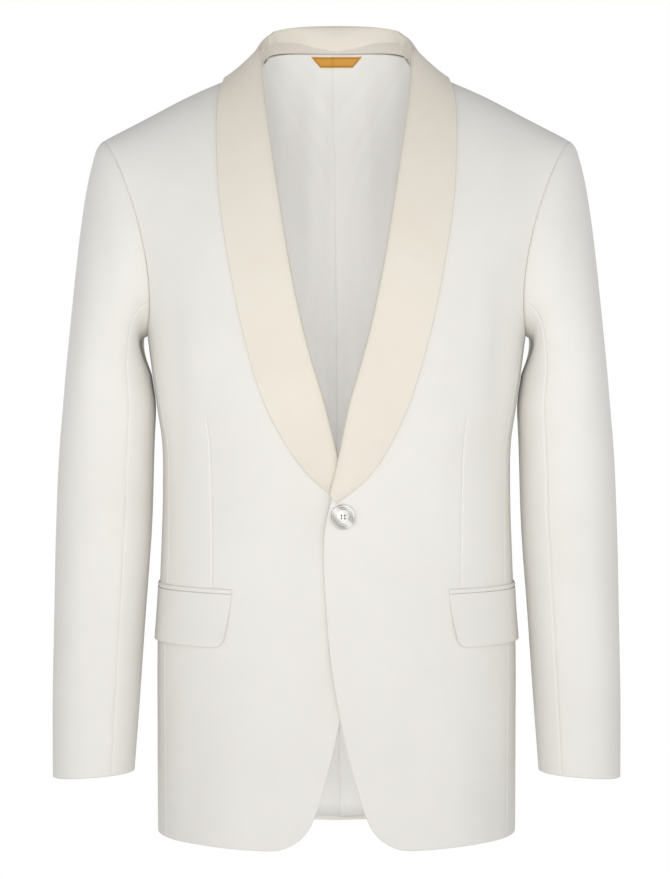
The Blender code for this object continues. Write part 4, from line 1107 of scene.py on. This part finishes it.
def make_buttonhole(turn, thread):
    """A ring of stitches round the buttonhole, most of it under the button."""
    work = bmesh.new()
    for k in range(STITCHES):
        a = 2 * math.pi * k / STITCHES
        x, y = BUTTONHOLE_HALF[0] * math.cos(a), BUTTONHOLE_HALF[1] * math.sin(a)
        out = np.array([math.cos(a) * 0.3, math.sin(a), 0]) * STITCH_LENGTH
        arch = zip((0, 0.5, 1), (0.00005, 0.00028, 0.00005))
        path = [(x + out[0] * share, y + out[1] * share, z) for share, z in arch]
        tube(work, path, STITCH_RADIUS, 6)
    stitches = place("buttonhole_sewing", mesh_of("buttonhole_sewing", work, turn), thread)
    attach(stitches, "root")


def make_button(pearl, thread):
    """The closing button, its thread, and the sewn buttonhole under it."""
    surface, normal = on_form(find_front(BUTTON_X, BUTTON_Z), 1)
    turn = Vector(normal).to_track_quat("Z", "Y").to_matrix().to_4x4()
    turn.translation = Vector(surface)
    make_disc(turn, pearl)
    make_sewing(turn, thread)
    make_buttonhole(turn, thread)


# ---------------------------------------------------------------- materials


class Paint:
    """A material and short ways to add nodes to it."""

    def __init__(self, name, specular=None, **constants):
        self.made = bpy.data.materials.new(name)
        self.made.use_nodes = True
        self.tree = self.made.node_tree
        self.shader = self.tree.nodes["Principled BSDF"]
        for key, value in constants.items():
            self.shader.inputs[key.replace("_", " ")].default_value = value
        if specular is not None:
            self.shader.inputs["Specular IOR Level"].default_value = specular

    def add(self, kind, *inputs, out=0, **settings):
        node = self.tree.nodes.new("ShaderNode" + kind)
        for key, value in settings.items():
            setattr(node, key, value)
        for place_in, value in enumerate(inputs):
            self.put(value, node.inputs[place_in])
        return node.outputs[out]

    def put(self, value, socket):
        if isinstance(value, bpy.types.NodeSocket):
            self.tree.links.new(value, socket)
        elif value is not None:
            socket.default_value = value

    def set(self, **inputs):
        for key, value in inputs.items():
            self.put(value, self.shader.inputs[key.replace("_", " ")])

    def mix(self, share, low, high):
        node = self.tree.nodes.new("ShaderNodeMix")
        node.data_type = "RGBA"
        for number, value in ((0, share), (6, low), (7, high)):
            plain = isinstance(value, (float, bpy.types.NodeSocket))
            self.put(value if plain else (*value, 1), node.inputs[number])
        return node.outputs[2]

    def math(self, how, a, b=0.0):
        return self.add("Math", a, b, operation=how)

    def ranged(self, value, low, high, to_low=0.0, to_high=1.0):
        return self.add("MapRange", value, low, high, to_low, to_high)

    def uv(self, scale, turn=0.0):
        mapped = self.add("UVMap")
        return self.add("Mapping", mapped, None, (0, 0, turn), scale)

    def wave(self, vector, period, distortion=0.0):
        return self.add("TexWave", vector, 0.3142 / period, distortion, 2.0, 1.0, out=1)

    def noise(self, vector, scale, detail=3.0):
        return self.add("TexNoise", vector, None, scale, detail, 0.55)

    def bump(self, height, distance, strength=1.0, over=None):
        node = self.tree.nodes.new("ShaderNodeBump")
        node.inputs["Strength"].default_value = strength
        node.inputs["Distance"].default_value = distance
        self.put(height, node.inputs["Height"])
        self.put(over, node.inputs["Normal"])
        return node.outputs[0]


def wool(name, low, high):
    """Smooth worsted wool: a fine twill, faint slubs along the warp, a soft nap."""
    paint = Paint(name, 0.22, Roughness=0.88, Sheen_Weight=0.12, Sheen_Roughness=0.45)
    twill = paint.wave(paint.uv((1, 1, 1), math.radians(28)), 0.00062, 0.3)
    weft = paint.wave(paint.uv((1, 1, 1), math.radians(90)), 0.00050)
    slub = paint.noise(paint.uv((1500, 130, 1)), 1.0, 2.0)
    place_at = paint.add("TexCoord", out=3)
    cloud = paint.noise(place_at, 11.0)
    fibre = paint.noise(place_at, 1500.0, 2.0)
    weave = paint.math("MULTIPLY_ADD", weft, 0.35)
    paint.put(twill, weave.node.inputs[2])
    share = paint.math("MULTIPLY_ADD", slub, 0.35)
    paint.put(paint.ranged(cloud, 0.3, 0.7, 0.0, 0.65), share.node.inputs[2])
    colour = paint.mix(share, low, high)
    dark = tuple(c * 0.90 for c in low)
    colour = paint.mix(paint.ranged(weave, 0.0, 0.5, 0.35, 0.0), colour, dark)
    relief = paint.bump(weave, 0.00007, 0.55)
    relief = paint.bump(slub, 0.00009, 0.5, relief)
    relief = paint.bump(fibre, 0.00006, 0.35, relief)
    rough = paint.ranged(slub, 0.3, 0.7, 0.82, 0.94)
    paint.set(Base_Color=colour, Roughness=rough, Normal=relief)
    return paint.made


def grosgrain(name, low, high):
    """Silk facing with fine cross ribs: a low warm sheen."""
    paint = Paint(name, 0.30, Sheen_Weight=0.10, Sheen_Roughness=0.4)
    rib = paint.wave(paint.uv((1, 1, 1), math.radians(90)), 0.00085, 0.15)
    warp = paint.wave(paint.uv((1, 1, 1)), 0.00030)
    place_at = paint.add("TexCoord", out=3)
    cloud = paint.noise(place_at, 14.0)
    streak = paint.noise(paint.uv((60, 1400, 1)), 1.0, 2.0)
    share = paint.math("MULTIPLY_ADD", streak, 0.4)
    paint.put(paint.ranged(cloud, 0.3, 0.7, 0.0, 0.6), share.node.inputs[2])
    colour = paint.mix(share, low, high)
    dark = tuple(c * 0.86 for c in low)
    colour = paint.mix(paint.ranged(rib, 0.0, 0.45, 0.45, 0.0), colour, dark)
    relief = paint.bump(rib, 0.00012, 0.6)
    relief = paint.bump(warp, 0.00004, 0.4, relief)
    paint.set(Base_Color=colour, Roughness=paint.ranged(streak, 0.3, 0.7, 0.58, 0.72), Normal=relief)
    return paint.made


def satin(name, low, high):
    """Smooth lining satin: fine warp threads, and a light that runs down them."""
    paint = Paint(name, 0.38, Sheen_Weight=0.05)
    v = paint.add("SeparateXYZ", paint.add("UVMap"), out=1)
    warp = paint.noise(paint.uv((2600, 90, 1)), 1.0, 2.0)
    soft = paint.noise(paint.uv((38, 3, 1)), 1.0, 2.0)
    colour = paint.mix(paint.ranged(soft, 0.3, 0.7), low, high)
    colour = paint.mix(paint.ranged(warp, 0.25, 0.6, 0.25, 0.0), colour, tuple(c * 0.9 for c in low))
    # Painted shade: the lowest 13 mm of the lining, at its turned hem, are painted darker for the
    # shadow of its fold.
    turned = paint.ranged(v, 0.0, 0.013, 0.42, 0.0)
    colour = paint.mix(turned, colour, tuple(c * 0.55 for c in low))
    relief = paint.bump(soft, 0.0010, 0.5)
    relief = paint.bump(warp, 0.00005, 0.5, relief)
    paint.set(Base_Color=colour, Roughness=paint.ranged(warp, 0.3, 0.7, 0.42, 0.52), Normal=relief)
    return paint.made


def woven_label(name):
    """A gold label with a fine damask weave and a darker woven border, otherwise blank."""
    paint = Paint(name, Sheen_Weight=0.2, Roughness=0.5)
    v = paint.add("SeparateXYZ", paint.add("UVMap"), out=1)
    u = v.node.outputs[0]

    def from_edge(value):
        return paint.math("MINIMUM", value, paint.math("SUBTRACT", 1.0, value))

    near_end = paint.math("MULTIPLY", from_edge(u), 4.2)
    near = paint.math("MINIMUM", near_end, from_edge(v))
    ring = paint.math("ABSOLUTE", paint.math("SUBTRACT", near, 0.15))
    border = paint.ranged(ring, 0.03, 0.06, 1.0, 0.0)
    rows = paint.wave(paint.uv((0.041, 0.0105, 1), math.radians(90)), 0.00042)
    ends = paint.wave(paint.uv((0.041, 0.0105, 1)), 0.00036)
    weave = paint.math("MULTIPLY", rows, ends)
    colour = paint.mix(paint.ranged(weave, 0.0, 0.6), (0.62, 0.27, 0.018), (0.80, 0.42, 0.045))
    colour = paint.mix(border, colour, (0.42, 0.17, 0.016))
    paint.set(Base_Color=colour, Normal=paint.bump(weave, 0.00008, 0.6))
    return paint.made


def mother_of_pearl(name):
    """Polished shell: milky layers, wide bright and grey diagonal bands that are a painted reflection,
    and faint pink and green.
    """
    paint = Paint(name, Coat_Weight=0.7, Coat_Roughness=0.06)
    place_at = paint.add("TexCoord", out=3)
    turned = paint.add("Mapping", place_at, None, (0, math.radians(-42), 0), (1, 1, 1))
    # Painted reflection: wide diagonal bands from grey to white, for a bright streak and a greyer shade
    # on the polished face.
    painted_reflection_bands = paint.add("TexWave", turned, 24.0, 3.2, 2.5, 1.6, out=1, bands_direction="Z")
    layers = paint.noise(turned, 420.0, 4.0)
    tint = paint.noise(place_at, 230.0, 2.0)
    ramp = paint.tree.nodes.new("ShaderNodeValToRGB")
    paint.put(painted_reflection_bands, ramp.inputs[0])
    first, last = ramp.color_ramp.elements
    first.position, first.color = 0.08, (0.40, 0.385, 0.36, 1)
    last.position, last.color = 0.92, (0.90, 0.90, 0.88, 1)
    for where, colour in ((0.30, (0.55, 0.53, 0.50, 1)), (0.60, (0.72, 0.70, 0.67, 1))):
        ramp.color_ramp.elements.new(where).color = colour
    blush = paint.mix(tint, (0.88, 0.74, 0.74), (0.72, 0.84, 0.78))
    colour = paint.mix(0.16, ramp.outputs[0], blush)
    colour = paint.mix(paint.ranged(layers, 0.55, 0.75, 0.0, 0.5), colour, (0.95, 0.95, 0.94))
    rough = paint.ranged(layers, 0.3, 0.7, 0.12, 0.30)
    paint.set(Base_Color=colour, Roughness=rough, Normal=paint.bump(layers, 0.00006, 0.4))
    return paint.made


def sewing_thread(name):
    paint = Paint(name, Sheen_Weight=0.2)
    place_at = paint.add("TexCoord", out=3)
    ply = paint.add("TexWave", place_at, 620.0, 0.5, 2.0, 1.0, out=1, bands_direction="DIAGONAL")
    paint.set(
        Base_Color=paint.mix(ply, (0.70, 0.68, 0.62), (0.88, 0.86, 0.80)),
        Roughness=paint.ranged(ply, 0, 1, 0.75, 0.55),
        Normal=paint.bump(ply, 0.00005, 0.5),
    )
    return paint.made


# ---------------------------------------------------------------- studio


CAMERA_BACK, HALF_VIEW = 3.2, 0.4263
# What falls on the jacket from the white walls: all round, and more before and behind it.
WALL, AHEAD, BEHIND = 0.85, 0.45, 0.25
LIGHTS = (
    ("key", (0, -3.4, -1.0), (0, 0, -0.40), 1.3, 30.2, (1.0, 0.985, 0.96)),
    ("back_key", (-0.8, 3.4, 0.3), (0, 0, -0.40), 1.3, 15.0, (1.0, 1.0, 1.0)),
    ("neck_fill", (0, -0.075, -0.26), (0, 0.10, -0.30), 0.16, 0.116, (1.0, 1.0, 1.0)),
    ("skirt_fill", (0, -0.05, -0.62), (0, 0.12, -0.68), 0.12, 0.10, (1.0, 1.0, 1.0)),
)
FLOOR_Z, FLOOR_RADIUS = -1.10, 1.9


def make_camera(scene):
    camera = bpy.data.cameras.new("camera")
    camera.sensor_fit = "VERTICAL"
    camera.angle = 2 * math.atan(HALF_VIEW / CAMERA_BACK)
    viewer = bpy.data.objects.new("camera", camera)
    viewer.location = (-0.0015, -CAMERA_BACK, -0.362)
    viewer.rotation_euler = (math.pi / 2, 0, 0)
    scene.collection.objects.link(viewer)
    scene.camera = viewer


def make_walls(scene):
    """White walls all round, brighter before and behind the jacket, a darker ceiling and floor."""
    world = bpy.data.worlds.new("studio")
    scene.world = world
    world.use_nodes = True
    nodes, links = world.node_tree.nodes, world.node_tree.links
    split = nodes.new("ShaderNodeSeparateXYZ")
    links.new(nodes.new("ShaderNodeTexCoord").outputs["Generated"], split.inputs[0])

    def worked_out(how, *values):
        node = nodes.new("ShaderNodeMath")
        node.operation = how
        for socket, value in zip(node.inputs, values):
            if isinstance(value, float):
                socket.default_value = value
            else:
                links.new(value, socket)
        return node.outputs[0]

    steep = worked_out("ABSOLUTE", split.outputs[2])
    wall = worked_out("MULTIPLY_ADD", steep, -WALL, WALL)
    ahead = worked_out("MINIMUM", split.outputs[1], 0.0)
    behind = worked_out("MAXIMUM", split.outputs[1], 0.0)
    light = worked_out("MULTIPLY_ADD", ahead, -AHEAD, wall)
    light = worked_out("MULTIPLY_ADD", behind, BEHIND, light)
    ambient, backdrop = nodes["Background"], nodes.new("ShaderNodeBackground")
    for shade in (ambient, backdrop):
        shade.inputs["Color"].default_value = (1.0, 1.0, 1.0, 1)
    links.new(light, ambient.inputs["Strength"])
    choice = nodes.new("ShaderNodeMixShader")
    seen = nodes.new("ShaderNodeLightPath").outputs["Is Camera Ray"]
    for number, output in enumerate((seen, ambient.outputs[0], backdrop.outputs[0])):
        links.new(output, choice.inputs[number])
    links.new(choice.outputs[0], nodes["World Output"].inputs["Surface"])


def make_lights(scene):
    for name, place_at, aim_at, size, energy, colour in LIGHTS:
        light = bpy.data.lights.new(name, "AREA")
        light.energy, light.size, light.color = energy, size, colour
        lamp = bpy.data.objects.new(name, light)
        lamp.location = place_at
        aim = Vector(aim_at) - lamp.location
        lamp.rotation_euler = aim.to_track_quat("-Z", "Y").to_euler()
        lamp.visible_camera = False
        scene.collection.objects.link(lamp)


def make_floor():
    work = bmesh.new()
    bmesh.ops.create_circle(work, cap_ends=True, radius=FLOOR_RADIUS, segments=96)
    paint = Paint("floor", Roughness=0.9)
    grain = paint.noise(paint.add("TexCoord", out=3), 30.0)
    paint.set(Base_Color=paint.mix(grain, (0.93, 0.92, 0.89), (0.95, 0.94, 0.91)))
    floor = place("floor", mesh_of("floor", work, Matrix()), paint.made)
    floor.location = (0, 0, FLOOR_Z)


def make_studio():
    scene = bpy.context.scene
    scene.view_settings.view_transform = "Standard"
    make_camera(scene)
    make_walls(scene)
    make_lights(scene)
    make_floor()


# ---------------------------------------------------------------- build


def main():
    make_studio()
    ivory = wool("ivory_wool", (0.850, 0.832, 0.794), (0.900, 0.884, 0.850))
    cream = grosgrain("cream_grosgrain", (0.850, 0.790, 0.690), (0.908, 0.858, 0.772))
    lining = satin("lining_satin", (0.880, 0.868, 0.845), (0.930, 0.922, 0.900))
    gold = woven_label("gold_label")
    pearl = mother_of_pearl("mother_of_pearl")
    thread = sewing_thread("sewing_thread")
    faces = []
    for side in (1, -1):
        front = make_front(side, ivory)
        make_side(side, ivory)
        back = make_back(side, ivory)
        make_sleeve("top_sleeve", FOREARM_STEP, 2 * ARM_STEPS - ELBOW_STEP, side, ivory)
        make_sleeve("under_sleeve", -ELBOW_STEP, FOREARM_STEP, side, ivory)
        make_collar(side, cream, tree_of(front[0], back[0]))
        make_pocket(side, ivory)
        faces.append(make_lining(side, lining) * (side, 1, 1))
    make_label(gold, *faces)
    make_button(pearl, thread)


main()
